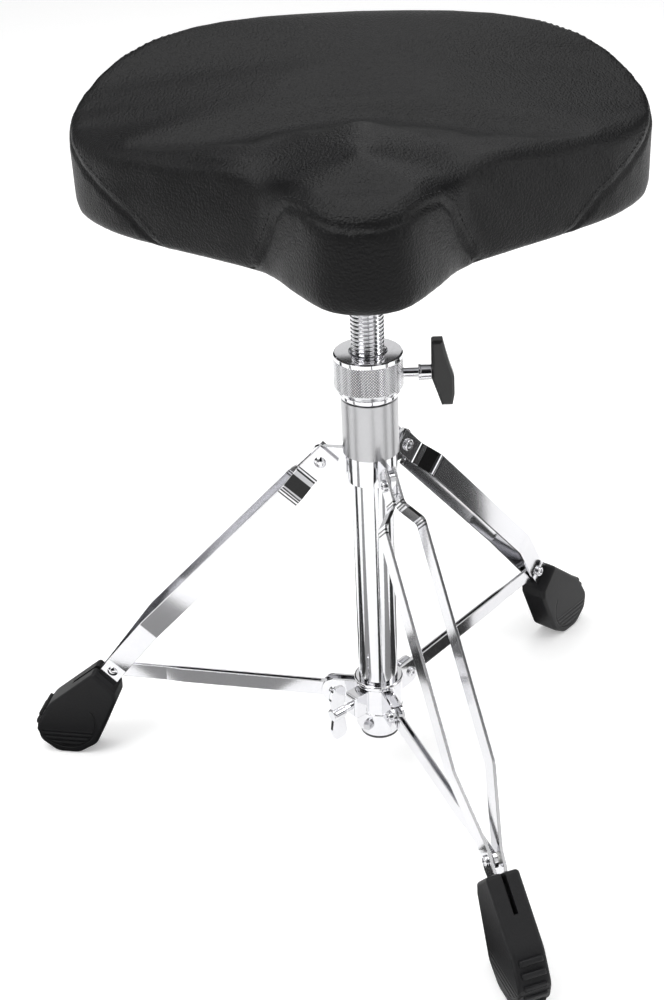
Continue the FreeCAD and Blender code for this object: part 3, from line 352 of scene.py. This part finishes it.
    def knurl(self, graph: Graph, shader: bpy.types.Node) -> None:
        """A diamond knurl round the lock collar, with painted shade darkening its grooves. Args:
        graph, shader: what to build on.
        """
        parts = graph.node("ShaderNodeSeparateXYZ")
        graph.feed(parts.inputs[0], graph.coordinates())
        angle = graph.math("ARCTAN2", parts.outputs[1], parts.outputs[0])
        turn = graph.math("MULTIPLY", angle, KNURL_RATE)
        rise = graph.math("MULTIPLY", parts.outputs[2], KNURL_RATE / COLLAR_RADIUS)
        first = graph.math("ABSOLUTE", graph.math("SINE", graph.math("ADD", turn, rise)))
        second = graph.math("ABSOLUTE", graph.math("SINE", graph.math("SUBTRACT", turn, rise)))
        low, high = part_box("lock_collar")[0][2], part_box("lock_collar")[1][2]
        out, up = self.leg_coordinates(graph)
        belt = graph.math("MULTIPLY", graph.band(up, low + 0.0040, high - 0.0040, 0.0004),
                          graph.band(out, 0.0256, 0.03, 0.0002))
        height = graph.math("MULTIPLY", graph.math("MINIMUM", first, second), belt)
        self.bump(graph, shader, height, 0.0003, self.rounded(graph))
        # painted shade: the colour turns towards grey in the knurl's valleys, standing in for the
        # shade that falls in the grooves
        painted_groove_shade = graph.math("MULTIPLY", belt, graph.math("SUBTRACT", 1.0, height))
        base = shader.inputs["Base Color"].links[0].from_socket
        graph.feed(shader.inputs["Base Color"],
                   graph.mix(graph.math("MULTIPLY", painted_groove_shade, 0.5), base, (0.16, 0.16, 0.17, 1.0)))

    def ribbed(self, graph: Graph, shader: bpy.types.Node, surface: Surface) -> None:
        """Foot rubber: stipple, a crescent groove and low ribs. Args: as for plain."""
        out, up = self.leg_coordinates(graph)
        dx = graph.math("SUBTRACT", out, FOOT_CENTRE[0])
        dz = graph.math("SUBTRACT", up, FOOT_CENTRE[1])
        away = graph.math("SQRT", graph.math("ADD", graph.math("MULTIPLY", dx, dx),
                                             graph.math("MULTIPLY", dz, dz)))
        groove = graph.math("MULTIPLY", graph.band(away, 0.0265, 0.0285, 0.0005),
                            graph.math("LESS_THAN", dz, 0.012))
        waves = graph.math("SINE", graph.math("MULTIPLY", up, 2 * math.pi / 0.0045))
        ribs = graph.math("MULTIPLY", graph.math("MULTIPLY", waves, 0.5),
                          graph.math("MULTIPLY", graph.band(up, 0.004, 0.024, 0.001),
                                     graph.math("LESS_THAN", away, 0.0262)))
        stipple = graph.node("ShaderNodeTexVoronoi")
        stipple.inputs["Scale"].default_value = 700.0
        graph.feed(stipple.inputs["Vector"], graph.coordinates())
        rough = graph.math("MULTIPLY", stipple.outputs["Distance"], 0.16)
        height = graph.math("ADD", graph.math("SUBTRACT", ribs, graph.math("MULTIPLY", groove, 1.4)),
                            rough)
        self.bump(graph, shader, height, 0.0007, self.rounded(graph))

    def grained(self, graph: Graph, shader: bpy.types.Node, surface: Surface) -> None:
        """A fine even texture. Args: graph, shader, surface: as for plain."""
        height = graph.noise(graph.coordinates(), 1500.0, 2.0)
        self.bump(graph, shader, height, 0.00015, self.rounded(graph))

    def plied(self, graph: Graph, shader: bpy.types.Node, surface: Surface) -> None:
        """Plywood with its layers at the edge. Args: graph, shader, surface: as for plain."""
        parts = graph.node("ShaderNodeSeparateXYZ")
        graph.feed(parts.inputs[0], graph.coordinates())
        layers = graph.math("SINE", graph.math("MULTIPLY", parts.outputs[2], 2 * math.pi / PLY))
        grain = graph.noise(graph.coordinates(), 90.0, 6.0)
        share = graph.math("MULTIPLY", graph.math("ADD", layers, grain), 0.5, clamp=True)
        graph.feed(shader.inputs["Base Color"],
                   graph.mix(share, rgba(surface.color), rgba(surface.color, 0.6)))
        self.bump(graph, shader, grain, 0.0001)

    def pebbled(self, graph: Graph, shader: bpy.types.Node, surface: Surface) -> None:
        """Grained leatherette. Args: graph, shader, surface: as for plain."""
        where = graph.coordinates()
        cells = graph.node("ShaderNodeTexVoronoi", feature="SMOOTH_F1")
        cells.inputs["Scale"].default_value = 620.0
        graph.feed(cells.inputs["Vector"], where)
        small = graph.node("ShaderNodeTexVoronoi", feature="F1")
        small.inputs["Scale"].default_value = 1300.0
        graph.feed(small.inputs["Vector"], where)
        soft = graph.noise(where, 60.0, 4.0)
        height = graph.math("ADD", graph.math("MULTIPLY", cells.outputs["Distance"], -1.0),
                            graph.math("MULTIPLY", small.outputs["Distance"], -0.35))
        height = graph.math("ADD", height, graph.math("MULTIPLY", soft, 0.5))
        self.bump(graph, shader, height, 0.0005)

    def twisted(self, graph: Graph, shader: bpy.types.Node, surface: Surface) -> None:
        """Sewing thread. Args: graph, shader, surface: as for plain."""
        wave = graph.node("ShaderNodeTexWave", bands_direction="DIAGONAL")
        wave.inputs["Scale"].default_value = 1600.0
        graph.feed(wave.inputs["Vector"], graph.coordinates())
        self.bump(graph, shader, wave.outputs["Fac"], 0.0001)


# ---- scene helpers ------------------------------------------------------------------------------

def only(obj: bpy.types.Object) -> bpy.types.Object:
    """Select one object and make it active. Args: obj: the object. Returns: the same object."""
    bpy.ops.object.select_all(action="DESELECT")
    obj.select_set(True)
    bpy.context.view_layer.objects.active = obj
    return obj


def dress(obj: bpy.types.Object, material: bpy.types.Material) -> bpy.types.Object:
    """Give an object one material. Args: obj, material. Returns: the object."""
    obj.data.materials.clear()
    obj.data.materials.append(material)
    return obj


def apply_modifier(obj: bpy.types.Object, name: str) -> None:
    """Apply one modifier. Args: obj: its object. name: the modifier's name."""
    only(obj)
    bpy.ops.object.modifier_apply(modifier=name)


def mesh_object(name: str, points: Sequence[Sequence[float]], faces: Sequence[Sequence[int]],
                edges: Sequence[Tuple[int, int]] = ()) -> bpy.types.Object:
    """A new mesh object.

    Args:
        name: its name.
        points: its vertices.
        faces: its faces, as vertex numbers.
        edges: its loose edges, as vertex numbers.
    Returns:
        The object, in the scene.
    """
    mesh = bpy.data.meshes.new(name)
    mesh.from_pydata([tuple(p) for p in points], list(edges), [tuple(f) for f in faces])
    mesh.update()
    obj = bpy.data.objects.new(name, mesh)
    bpy.context.scene.collection.objects.link(obj)
    return obj


def coords_of(obj: bpy.types.Object) -> np.ndarray:
    """The object's vertices. Args: obj. Returns: an array of n by 3."""
    flat = np.empty(len(obj.data.vertices) * 3)
    obj.data.vertices.foreach_get("co", flat)
    return flat.reshape(-1, 3)


def set_coords(obj: bpy.types.Object, coords: np.ndarray) -> None:
    """Move the object's vertices. Args: obj. coords: an array of n by 3."""
    obj.data.vertices.foreach_set("co", coords.ravel())
    obj.data.update()


def smooth(obj: bpy.types.Object, degrees: float = 35.0) -> None:
    """Shade smooth but for sharp edges. Args: obj. degrees: edges above this stay sharp."""
    only(obj)
    bpy.ops.object.shade_smooth_by_angle(angle=math.radians(degrees))


# ---- metal and rubber ---------------------------------------------------------------------------

@dataclass
class CadFinishes:
    """The CAD nodes' own materials, by the slot that the record gives each node."""

    materials: MaterialMaker
    knurled: Tuple[str, ...] = ("lock_collar",)

    def build(self) -> None:
        """Dress every node."""
        for part in frame["record"]["subparts"]:
            name = part["node"]
            finish = Finish(part["material_slot"])
            material = self.materials.get(finish, knurled=name in self.knurled)
            dress(frame["nodes"][name], material)
        LOG.info("dressed %d nodes", len(frame["nodes"]))


@dataclass
class FootRibs:
    """The raised ribs across the outer face of each rubber foot."""

    materials: MaterialMaker
    path: Tuple[Tuple[float, float, float], ...] = (
        (0.2915, 0.0446, 34.0), (0.2965, 0.0370, 28.0), (0.3000, 0.0285, 12.0),
        (0.3003, 0.0200, -8.0), (0.2978, 0.0120, -30.0),
    )
    width: float = 0.018
    height: float = 0.0045

    def build(self) -> None:
        """Make one piece of ribs for each foot."""
        for number, azimuth in enumerate(LEG_AZIMUTHS, start=1):
            bpy.ops.object.select_all(action="DESELECT")
            made = []
            for out, up, lean in self.path:
                bpy.ops.mesh.primitive_cube_add(size=1.0, location=(out, 0.0, up),
                                                rotation=(0.0, -math.radians(lean), 0.0))
                rib = bpy.context.active_object
                rib.scale = (0.0044, self.width, self.height)
                made.append(rib)
            bpy.ops.object.select_all(action="DESELECT")
            for rib in made:
                rib.select_set(True)
            bpy.context.view_layer.objects.active = made[0]
            bpy.ops.object.join()
            ribs = bpy.context.active_object
            ribs.name = f"foot_ribs_{number}"
            bpy.ops.object.transform_apply(location=True, rotation=True, scale=True)
            edge = ribs.modifiers.new("edge", "BEVEL")
            edge.width = 0.0011
            edge.segments = 3
            apply_modifier(ribs, "edge")
            ribs.rotation_euler = (0.0, 0.0, math.radians(azimuth))
            bpy.ops.object.transform_apply(location=False, rotation=True, scale=False)
            smooth(ribs)
            dress(ribs, self.materials.get(Finish.RUBBER))
            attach(ribs, f"leg_{number}")
            LOG.info("foot ribs %d", number)


@dataclass
class SpindleThread:
    """The spindle with its rounded thread, in place of the plain cylinder."""

    materials: MaterialMaker
    steps: int = 40
    samples: int = 8
    depth: float = 0.0011
    shoulder: float = 0.0012
    pin_radius: float = 0.011
    merge: float = 0.00001

    def build(self) -> None:
        """Make the thread with a screw modifier round a solid core."""
        low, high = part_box("spindle")[0][2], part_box("spindle")[1][2]
        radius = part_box("spindle")[1][0]
        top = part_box("seat_bracket")[0][2] - self.shoulder
        turns = int((top - low) / PITCH) - 1
        profile = []
        for i in range(self.samples + 1):
            share = i / self.samples
            wave = 0.5 - 0.5 * math.cos(2 * math.pi * share)
            profile.append((radius - self.depth * (1 - wave ** 0.7), 0.0, low + PITCH * share))
        thread = mesh_object("spindle_thread", profile, [],
                             edges=[(i, i + 1) for i in range(self.samples)])
        screw = thread.modifiers.new("screw", "SCREW")
        screw.steps = self.steps
        screw.render_steps = self.steps
        screw.screw_offset = PITCH
        screw.iterations = turns
        screw.use_merge_vertices = True
        screw.merge_threshold = self.merge
        apply_modifier(thread, "screw")
        core_r = radius - self.depth + 0.00005
        bpy.ops.object.select_all(action="DESELECT")
        bpy.ops.mesh.primitive_cylinder_add(vertices=64, radius=core_r, depth=top - low,
                                            location=(0, 0, (low + top) / 2))
        core = bpy.context.active_object
        bpy.ops.mesh.primitive_cylinder_add(vertices=48, radius=self.pin_radius, depth=high - top,
                                            location=(0, 0, (high + top) / 2))
        pin = bpy.context.active_object
        bpy.ops.object.select_all(action="DESELECT")
        for piece in (core, pin, thread):
            piece.select_set(True)
        bpy.context.view_layer.objects.active = thread
        bpy.ops.object.join()
        bpy.ops.object.mode_set(mode="EDIT")
        bpy.ops.mesh.select_all(action="SELECT")
        bpy.ops.mesh.remove_doubles(threshold=self.merge)
        bpy.ops.mesh.normals_make_consistent(inside=False)
        bpy.ops.object.mode_set(mode="OBJECT")
        smooth(thread, 50.0)
        dress(thread, self.materials.get(Finish.CHROME))
        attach(thread, "spindle")
        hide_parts("spindle")
        LOG.info("spindle thread: %d turns, %d faces", turns, len(thread.data.polygons))


# ---- seat ---------------------------------------------------------------------------------------

SEAT_HALF = ((0.0, -141.0), (28.0, -132.0), (50.0, -100.0), (70.0, -64.0), (106.0, -34.0),
             (149.0, -2.0), (188.0, 32.0), (214.0, 74.0), (210.0, 116.0), (180.0, 150.0),
             (126.0, 174.0), (64.0, 185.0), (0.0, 188.0))
SEAT_RISE = ((-190.0, 50.0), (-150.0, 63.0), (-110.0, 74.0), (-60.0, 80.0), (30.0, 73.0),
             (110.0, 94.0), (160.0, 121.0), (230.0, 135.0))


def spline(points: Sequence[Sequence[float]], count: int) -> List[Tuple[float, float]]:
    """A Catmull-Rom curve through a closed loop. Args: points. count: samples. Returns: samples."""
    total = len(points)
    found = []
    for k in range(count):
        place = k * total / count
        i = int(place)
        t = place - i
        a, b, c, d = (points[(i + j) % total] for j in (-1, 0, 1, 2))
        found.append(tuple(
            0.5 * (2 * b[m] + (c[m] - a[m]) * t + (2 * a[m] - 5 * b[m] + 4 * c[m] - d[m]) * t ** 2
                   + (3 * b[m] - a[m] - 3 * c[m] + d[m]) * t ** 3) for m in (0, 1)))
    return found


@dataclass
class SeamLine:
    """A seam: guide points on one side of the seat as (outline place, share of the height)."""

    name: str
    guide: Tuple[Tuple[float, float], ...]


@dataclass
class Seat:
    """The upholstered seat: inflated cover, seams and stitching."""

    materials: MaterialMaker
    voxel: float = 0.005
    pressure: float = 3.0
    cap: float = 0.012
    recess: float = 0.004
    lines: List[SeamLine] = field(default_factory=list)
    outline: List[Tuple[float, float]] = field(default_factory=list)

    def __post_init__(self) -> None:
        """Lay out the outline and the seams. Places run 0 to 12 from the nose to the back."""
        left = [(-x, y) for x, y in reversed(SEAT_HALF[1:-1])]
        self.outline = spline(list(SEAT_HALF) + left, 240)
        side = ((4.95, 0.0), (5.2, 0.18), (5.5, 0.36), (5.9, 0.5), (6.4, 0.66), (7.0, 0.84),
                (7.8, 0.92), (9.0, 0.94), (10.5, 0.94), (12.0, 0.94))
        arch = ((3.3, 0.0), (2.9, 0.32), (2.45, 0.7), (2.1, 0.84), (1.5, 0.93), (0.8, 0.97),
                (0.0, 0.98))
        self.lines = [SeamLine("side", side), SeamLine("arch", arch)]

    @staticmethod
    def top(x: float, y: float) -> float:
        """Height of the seat's top over its underside. Args: x, y: metres. Returns: metres."""
        ys = [p[0] for p in SEAT_RISE]
        zs = [p[1] for p in SEAT_RISE]
        u, v = x / MM, y / MM
        i = max(1, min(len(ys) - 3, sum(1 for a in ys if a <= v) - 1))
        t = (v - ys[i]) / (ys[i + 1] - ys[i])
        slope_a = (zs[i + 1] - zs[i - 1]) / (ys[i + 1] - ys[i - 1]) * (ys[i + 1] - ys[i])
        slope_b = (zs[i + 2] - zs[i]) / (ys[i + 2] - ys[i]) * (ys[i + 1] - ys[i])
        rise = ((2 * t ** 3 - 3 * t ** 2 + 1) * zs[i] + (t ** 3 - 2 * t ** 2 + t) * slope_a
                + (3 * t ** 2 - 2 * t ** 3) * zs[i + 1] + (t ** 3 - t ** 2) * slope_b)
        crest = math.sqrt(u * u + 60.0) - 7.7
        rise += 15.0 * math.exp(-crest / 30.0) * math.exp(-((v + 14.0) / 46.0) ** 2)
        rise += 4.0 * math.exp(-(u / 40.0) ** 2 - ((v + 85.0) / 40.0) ** 2)
        rise -= 9.0 * math.exp(-((abs(u) - 60.0) / 24.0) ** 2 - ((v + 60.0) / 28.0) ** 2)
        rise -= 6.0 * math.exp(-((abs(u) - 100.0) / 46.0) ** 2 - ((v - 12.0) / 44.0) ** 2)
        rise -= 5.0 * math.exp(-(u / 110.0) ** 2 - ((v - 75.0) / 46.0) ** 2)
        rise -= 9.0 * (u / 214.0) ** 2
        return rise * MM

    def place(self, where: float, share: float, mirror: float) -> Vector:
        """A point on the side wall. Args: where: outline place. share: of the height.
        mirror: 1 or -1, the side. Returns: the point."""
        exact = where / 24.0 * len(self.outline)
        i = int(exact)
        t = exact - i
        a = self.outline[i % len(self.outline)]
        b = self.outline[(i + 1) % len(self.outline)]
        x, y = (a[0] + (b[0] - a[0]) * t) * MM, (a[1] + (b[1] - a[1]) * t) * MM
        return Vector((x * mirror, y, SEAT_BASE + share * self.top(x, y)))

    def shell(self) -> bpy.types.Object:
        """The seat's rough body. Returns: the object, remeshed and shaped."""
        tall = 0.080
        points = [(x * MM, y * MM, 0.0) for x, y in self.outline]
        body = mesh_object("seat_upholstery", points, [tuple(range(len(points)))])
        only(body)
        bpy.ops.object.mode_set(mode="EDIT")
        bpy.ops.mesh.select_all(action="SELECT")
        bpy.ops.mesh.extrude_region_move(TRANSFORM_OT_translate={"value": (0, 0, tall)})
        bpy.ops.mesh.select_all(action="SELECT")
        bpy.ops.mesh.normals_make_consistent(inside=False)
        bpy.ops.object.mode_set(mode="OBJECT")
        rim = body.modifiers.new("rim", "BEVEL")
        rim.width = 0.013
        rim.segments = 5
        rim.limit_method = "ANGLE"
        rim.angle_limit = math.radians(60)
        apply_modifier(body, "rim")
        remesh = body.modifiers.new("remesh", "REMESH")
        remesh.mode = "VOXEL"
        remesh.voxel_size = self.voxel
        apply_modifier(body, "remesh")
        ease = body.modifiers.new("ease", "SMOOTH")
        ease.iterations = 4
        apply_modifier(body, "ease")
        coords = coords_of(body)
        edge = KDTree(len(self.outline))
        for i, (x, y) in enumerate(self.outline):
            edge.insert((x * MM, y * MM, 0.0), i)
        edge.balance()
        for row in coords:
            inside = edge.find((row[0], row[1], 0.0))[2]
            recess = self.recess * max(0.0, min(1.0, (inside - 0.022) / 0.006))
            share = row[2] / tall
            row[2] = SEAT_BASE + share * self.top(row[0], row[1])
            if share < 0.5:
                row[2] += recess
        set_coords(body, coords)
        return body

    def seams(self, body: bpy.types.Object) -> Dict[str, List[List[Tuple[Vector, Vector]]]]:
        """The seams on the body's surface. Args: body. Returns: by name, each line's points as
        (point, normal), evenly spaced."""
        body.data.update()
        tree = BVHTree.FromObject(body, bpy.context.evaluated_depsgraph_get())
        found: Dict[str, List[List[Tuple[Vector, Vector]]]] = {}
        for line in self.lines:
            found[line.name] = []
            for mirror in (1.0, -1.0):
                dense: List[Vector] = []
                for (w0, s0), (w1, s1) in zip(line.guide[:-1], line.guide[1:]):
                    for k in range(40):
                        t = k / 40
                        dense.append(self.place(w0 + (w1 - w0) * t, s0 + (s1 - s0) * t, mirror))
                snapped = [tree.find_nearest(p)[0:2] for p in dense]
                found[line.name].append(self.even(snapped, 0.0012))
        return found

    @staticmethod
    def even(points: Sequence[Tuple[Vector, Vector]], step: float) -> List[Tuple[Vector, Vector]]:
        """Thin a line to an even spacing. Args: points. step: metres. Returns: the points."""
        kept = [points[0]]
        for point in points[1:]:
            if (point[0] - kept[-1][0]).length >= step:
                kept.append(point)
        return kept

    def inflate(self, body: bpy.types.Object,
                seams: Dict[str, List[List[Tuple[Vector, Vector]]]]) -> None:
        """Let the cover swell between its seams and its base. Args: body. seams: held lines."""
        tree = self.tree_of(seams)
        held = body.vertex_groups.new(name="held")
        before = coords_of(body).copy()
        for i, row in enumerate(before):
            distance = tree.find(row)[2]
            share = max(0.0, min(1.0, 1.0 - (distance - 0.004) / 0.008))
            if row[2] < SEAT_BASE + 0.012:
                share = 1.0
            if share > 0.0:
                held.add([i], share, "REPLACE")
        cloth = body.modifiers.new("cloth", "CLOTH")
        cloth.settings.quality = 5
        cloth.settings.mass = 0.3
        cloth.settings.tension_stiffness = 25.0
        cloth.settings.compression_stiffness = 25.0
        cloth.settings.bending_stiffness = 8.0
        cloth.settings.use_pressure = True
        cloth.settings.uniform_pressure_force = self.pressure
        cloth.settings.vertex_group_mass = "held"
        cloth.settings.effector_weights.gravity = 0.0
        cloth.collision_settings.use_collision = False
        scene = bpy.context.scene
        for number in range(1, 15):
            scene.frame_set(number)
        apply_modifier(body, "cloth")
        scene.frame_set(1)
        after = coords_of(body)
        shift = after - before
        size = np.linalg.norm(shift, axis=1, keepdims=True)
        shift *= np.minimum(1.0, self.cap / np.maximum(size, 1e-9))
        set_coords(body, before + shift)
        LOG.info("seat swelled by up to %.1f mm", float(size.max()) / MM)

    @staticmethod
    def tree_of(seams: Dict[str, List[List[Tuple[Vector, Vector]]]]) -> KDTree:
        """A search tree over all seam points. Args: seams. Returns: the tree."""
        points = [p for group in seams.values() for line in group for p, _ in line]
        tree = KDTree(len(points))
        for i, point in enumerate(points):
            tree.insert(point, i)
        tree.balance()
        return tree

    def groove(self, body: bpy.types.Object,
               seams: Dict[str, List[List[Tuple[Vector, Vector]]]]) -> None:
        """Press the seams in, with small puckers beside them. Args: body. seams."""
        tree = self.tree_of(seams)
        normals = np.empty(len(body.data.vertices) * 3)
        body.data.vertices.foreach_get("normal", normals)
        normals = normals.reshape(-1, 3)
        coords = coords_of(body)
        for row, normal in zip(coords, normals):
            _, index, distance = tree.find(row)
            if distance > 0.02:
                continue
            dip = 0.0020 * math.exp(-(distance / 0.0022) ** 2)
            fade = math.exp(-((distance - 0.006) / 0.005) ** 2)
            pucker = 0.00025 * math.sin(index * 0.42) * fade
            row += normal * (pucker - dip)
        set_coords(body, coords)

    def stitches(self, body: bpy.types.Object,
                 seams: Dict[str, List[List[Tuple[Vector, Vector]]]]) -> None:
        """Rows of top stitching beside each seam. Args: body. seams."""
        tree = BVHTree.FromObject(body, bpy.context.evaluated_depsgraph_get())
        bpy.ops.object.select_all(action="DESELECT")
        bpy.ops.mesh.primitive_uv_sphere_add(segments=6, ring_count=4, radius=1.0)
        seed = bpy.context.active_object
        shape = coords_of(seed)
        seed_faces = [tuple(f.vertices) for f in seed.data.polygons]
        bpy.ops.object.delete()
        for name, group in seams.items():
            points: List[Sequence[float]] = []
            faces: List[Tuple[int, ...]] = []
            for side, line in zip((1.0, -1.0), group):
                path = []
                for (a, normal), (b, _) in zip(line[:-1], line[1:]):
                    tangent = (b - a).normalized()
                    aside = normal.cross(tangent).normalized() * side
                    aside = aside if (name != "side" and aside.y > 0) or aside.z > 0 else -aside
                    spot, face_normal, _, _ = tree.find_nearest(a + aside * 0.0075)
                    path.append((spot, face_normal))
                path = self.even(path, 0.0040)
                for (a, normal), (b, _) in zip(path[:-1], path[1:]):
                    along = (b - a).normalized()
                    if (b - a).length > 0.009:
                        continue
                    across = normal.cross(along).normalized()
                    upward = along.cross(across)
                    turn = np.array([along * 0.00155, across * 0.00045, upward * 0.00045])
                    middle = np.array((a + b) / 2 + normal * 0.0001)
                    start = len(points)
                    points.extend((shape[:, [2, 0, 1]] @ turn + middle).tolist())
                    faces.extend(tuple(start + i for i in f) for f in seed_faces)
            thread = mesh_object(f"seat_stitching_{name}", points, faces)
            only(thread)
            bpy.ops.object.mode_set(mode="EDIT")
            bpy.ops.mesh.select_all(action="SELECT")
            bpy.ops.mesh.normals_make_consistent(inside=False)
            bpy.ops.object.mode_set(mode="OBJECT")
            smooth(thread, 80.0)
            dress(thread, self.materials.get(Finish.THREAD))
            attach(thread, "seat")
            LOG.info("stitching %s: %d faces", name, len(faces))

    def build(self) -> None:
        """Make the seat's upholstery and its stitching."""
        body = self.shell()
        seams = self.seams(body)
        self.inflate(body, seams)
        finer = body.modifiers.new("finer", "SUBSURF")
        finer.levels = 1
        finer.render_levels = 1
        apply_modifier(body, "finer")
        seams = self.seams(body)
        self.groove(body, seams)
        self.stitches(body, seams)
        only(body)
        bpy.ops.object.shade_smooth()
        dress(body, self.materials.get(Finish.LEATHER))
        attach(body, "seat")
        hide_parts("seat_cover", "seat_foam")
        LOG.info("seat upholstery: %d faces", len(body.data.polygons))


# ---- studio -------------------------------------------------------------------------------------

@dataclass(frozen=True)
class Lamp:
    """One soft light: where it stands, how large and how strong it is."""

    name: str
    place: Tuple[float, float, float]
    size: Tuple[float, float]
    power: float


@dataclass
class Studio:
    """Pale floor, soft lights, dark cards for the metal to reflect, and the camera.

    A strip is its azimuth in degrees, its width and its shade.
    """

    lamps: Tuple[Lamp, ...] = (
        Lamp("key_light", (-1.3, -0.9, 2.1), (1.2, 1.2), 22.0),
        Lamp("top_light", (0.0, 0.2, 3.2), (3.5, 3.5), 70.0),
        Lamp("side_light", (2.0, -0.4, 1.1), (0.5, 1.4), 10.0),
    )
    strips: Tuple[Tuple[float, float, float], ...] = (
        (-80.0, 0.05, 0.02), (-28.0, 0.14, 0.30), (-152.0, 0.12, 0.30),
        (12.0, 0.16, 0.02), (168.0, 0.16, 0.02), (90.0, 0.30, 0.02),
    )
    eye: Tuple[float, float, float] = (0.0, -1.1066, 0.8894)
    lens: float = 58.957
    shift: Tuple[float, float] = (-0.0412, 0.0133)
    look_down: float = 29.963
    roll: float = -1.883

    def floor(self) -> bpy.types.Object:
        """The floor. Returns: the object."""
        bpy.ops.object.select_all(action="DESELECT")
        bpy.ops.mesh.primitive_plane_add(size=40.0, location=(0, 0, -0.0002))
        floor = bpy.context.active_object
        floor.name = "floor"
        material = bpy.data.materials.new("floor")
        material.use_nodes = True
        graph = Graph(material.node_tree)
        shader = material.node_tree.nodes["Principled BSDF"]
        shader.inputs["Roughness"].default_value = 0.7
        shader.inputs["Specular IOR Level"].default_value = 0.1
        shader.inputs["Emission Color"].default_value = (1.0, 1.0, 1.0, 1.0)
        shader.inputs["Emission Strength"].default_value = 0.3
        cloud = graph.noise(graph.coordinates(), 3.0)
        graph.feed(shader.inputs["Base Color"],
                   graph.mix(cloud, (0.86, 0.86, 0.86, 1.0), (0.88, 0.88, 0.88, 1.0)))
        return dress(floor, material)

    def card(self, name: str, place: Tuple[float, float, float], size: Tuple[float, float],
             shade: float) -> bpy.types.Object:
        """An upright card out of the camera's view.

        Args:
            name: its name.
            place: its middle.
            size: its width and height.
            shade: how light it is.
        Returns:
            The object.
        """
        bpy.ops.object.select_all(action="DESELECT")
        bpy.ops.mesh.primitive_plane_add(size=1.0)
        card = bpy.context.active_object
        card.name = name
        card.scale = (size[0], size[1], 1.0)
        card.location = place
        card.rotation_euler = (Vector(place) * -1).to_track_quat("Z", "Y").to_euler()
        material = bpy.data.materials.new(name)
        material.use_nodes = True
        graph = Graph(material.node_tree)
        shader = material.node_tree.nodes["Principled BSDF"]
        tone = graph.noise(graph.coordinates(), 2.0)
        graph.feed(shader.inputs["Base Color"],
                   graph.mix(tone, (shade, shade, shade, 1.0), (shade * 0.8,) * 3 + (1.0,)))
        shader.inputs["Roughness"].default_value = 0.9
        card.visible_shadow = False
        card.visible_diffuse = False
        card.visible_camera = False
        return dress(card, material)

    def floor_strips(self) -> List[bpy.types.Object]:
        """Dark strips that run out along the floor, seen only in polished metal.

        Returns:
            The objects.
        """
        strips = []
        for number, (azimuth, width, shade) in enumerate(self.strips, start=1):
            strip = self.card(f"floor_strip_{number}", (0.0, 0.0, 0.001), (1.6, width), shade)
            turn = math.radians(azimuth)
            strip.rotation_euler = (0.0, 0.0, turn)
            strip.location = (0.95 * math.cos(turn), 0.95 * math.sin(turn), 0.001)
            strips.append(strip)
        return strips

    def lights(self) -> List[bpy.types.Object]:
        """The lights. Returns: the objects."""
        made = []
        for lamp in self.lamps:
            data = bpy.data.lights.new(lamp.name, "AREA")
            data.shape = "RECTANGLE"
            data.size, data.size_y = lamp.size
            data.energy = lamp.power
            obj = bpy.data.objects.new(lamp.name, data)
            obj.location = lamp.place
            aim = Vector((0, 0, 0.35)) - Vector(lamp.place)
            obj.rotation_euler = aim.to_track_quat("-Z", "Y").to_euler()
            bpy.context.scene.collection.objects.link(obj)
            made.append(obj)
        return made

    def camera(self) -> None:
        """The camera, above the seat, looking down, and turned a little about its own axis."""
        data = bpy.data.cameras.new("camera")
        data.sensor_fit = "AUTO"
        data.sensor_width = 36.0
        data.lens = self.lens
        data.shift_x, data.shift_y = self.shift
        data.clip_start = 0.01
        obj = bpy.data.objects.new("camera", data)
        tilt = Matrix.Rotation(math.radians(90 - self.look_down), 4, "X")
        roll = Matrix.Rotation(math.radians(self.roll), 4, "Z")
        obj.matrix_world = Matrix.Translation(self.eye) @ tilt @ roll
        bpy.context.scene.collection.objects.link(obj)
        bpy.context.scene.camera = obj

    def build(self) -> None:
        """Set the whole studio up."""
        world = bpy.data.worlds.new("studio")
        world.use_nodes = True
        graph = Graph(world.node_tree)
        background = world.node_tree.nodes["Background"]
        parts = graph.node("ShaderNodeSeparateXYZ")
        graph.feed(parts.inputs[0], graph.node("ShaderNodeTexCoord").outputs["Generated"])
        turn = graph.math("ARCTAN2", parts.outputs[1], parts.outputs[0])
        stripes = graph.math("SINE", graph.math("ADD", graph.math("MULTIPLY", turn, 5.0), 0.6))
        bright = graph.math("MULTIPLY", graph.math("ADD", stripes, 0.05), 3.0, clamp=True)
        overhead = graph.math("MULTIPLY", graph.math("SUBTRACT", parts.outputs[2], 0.72), 5.0,
                              clamp=True)
        share = graph.math("MAXIMUM", bright, overhead)
        graph.feed(background.inputs["Color"],
                   graph.mix(share, (0.012, 0.012, 0.014, 1.0), (1.0, 1.0, 1.0, 1.0)))
        background.inputs["Strength"].default_value = 0.8
        bpy.context.scene.world = world
        cards = [
            self.card("dark_card_left", (-1.0, -1.1, 0.25), (0.5, 1.2), 0.01),
            self.card("dark_card_right", (1.1, -0.9, 0.3), (0.45, 1.2), 0.01),
            self.card("dark_card_top", (0.1, -0.5, 1.9), (1.2, 0.4), 0.02),
        ]
        cards.extend(self.floor_strips())
        self.floor()
        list(self.lights())
        self.camera()
        scene = bpy.context.scene
        scene.view_settings.view_transform = "Standard"
        LOG.info("studio ready")


@dataclass
class Throne:
    """The whole drum throne."""

    materials: MaterialMaker

    def build(self) -> None:
        """Build every sub-assembly."""
        CadFinishes(self.materials).build()
        FootRibs(self.materials).build()
        SpindleThread(self.materials).build()
        Seat(self.materials).build()


def main() -> None:
    """Build the throne and the studio."""
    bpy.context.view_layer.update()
    Throne(MaterialMaker()).build()
    Studio().build()


if __name__ == "__main__":
    main()
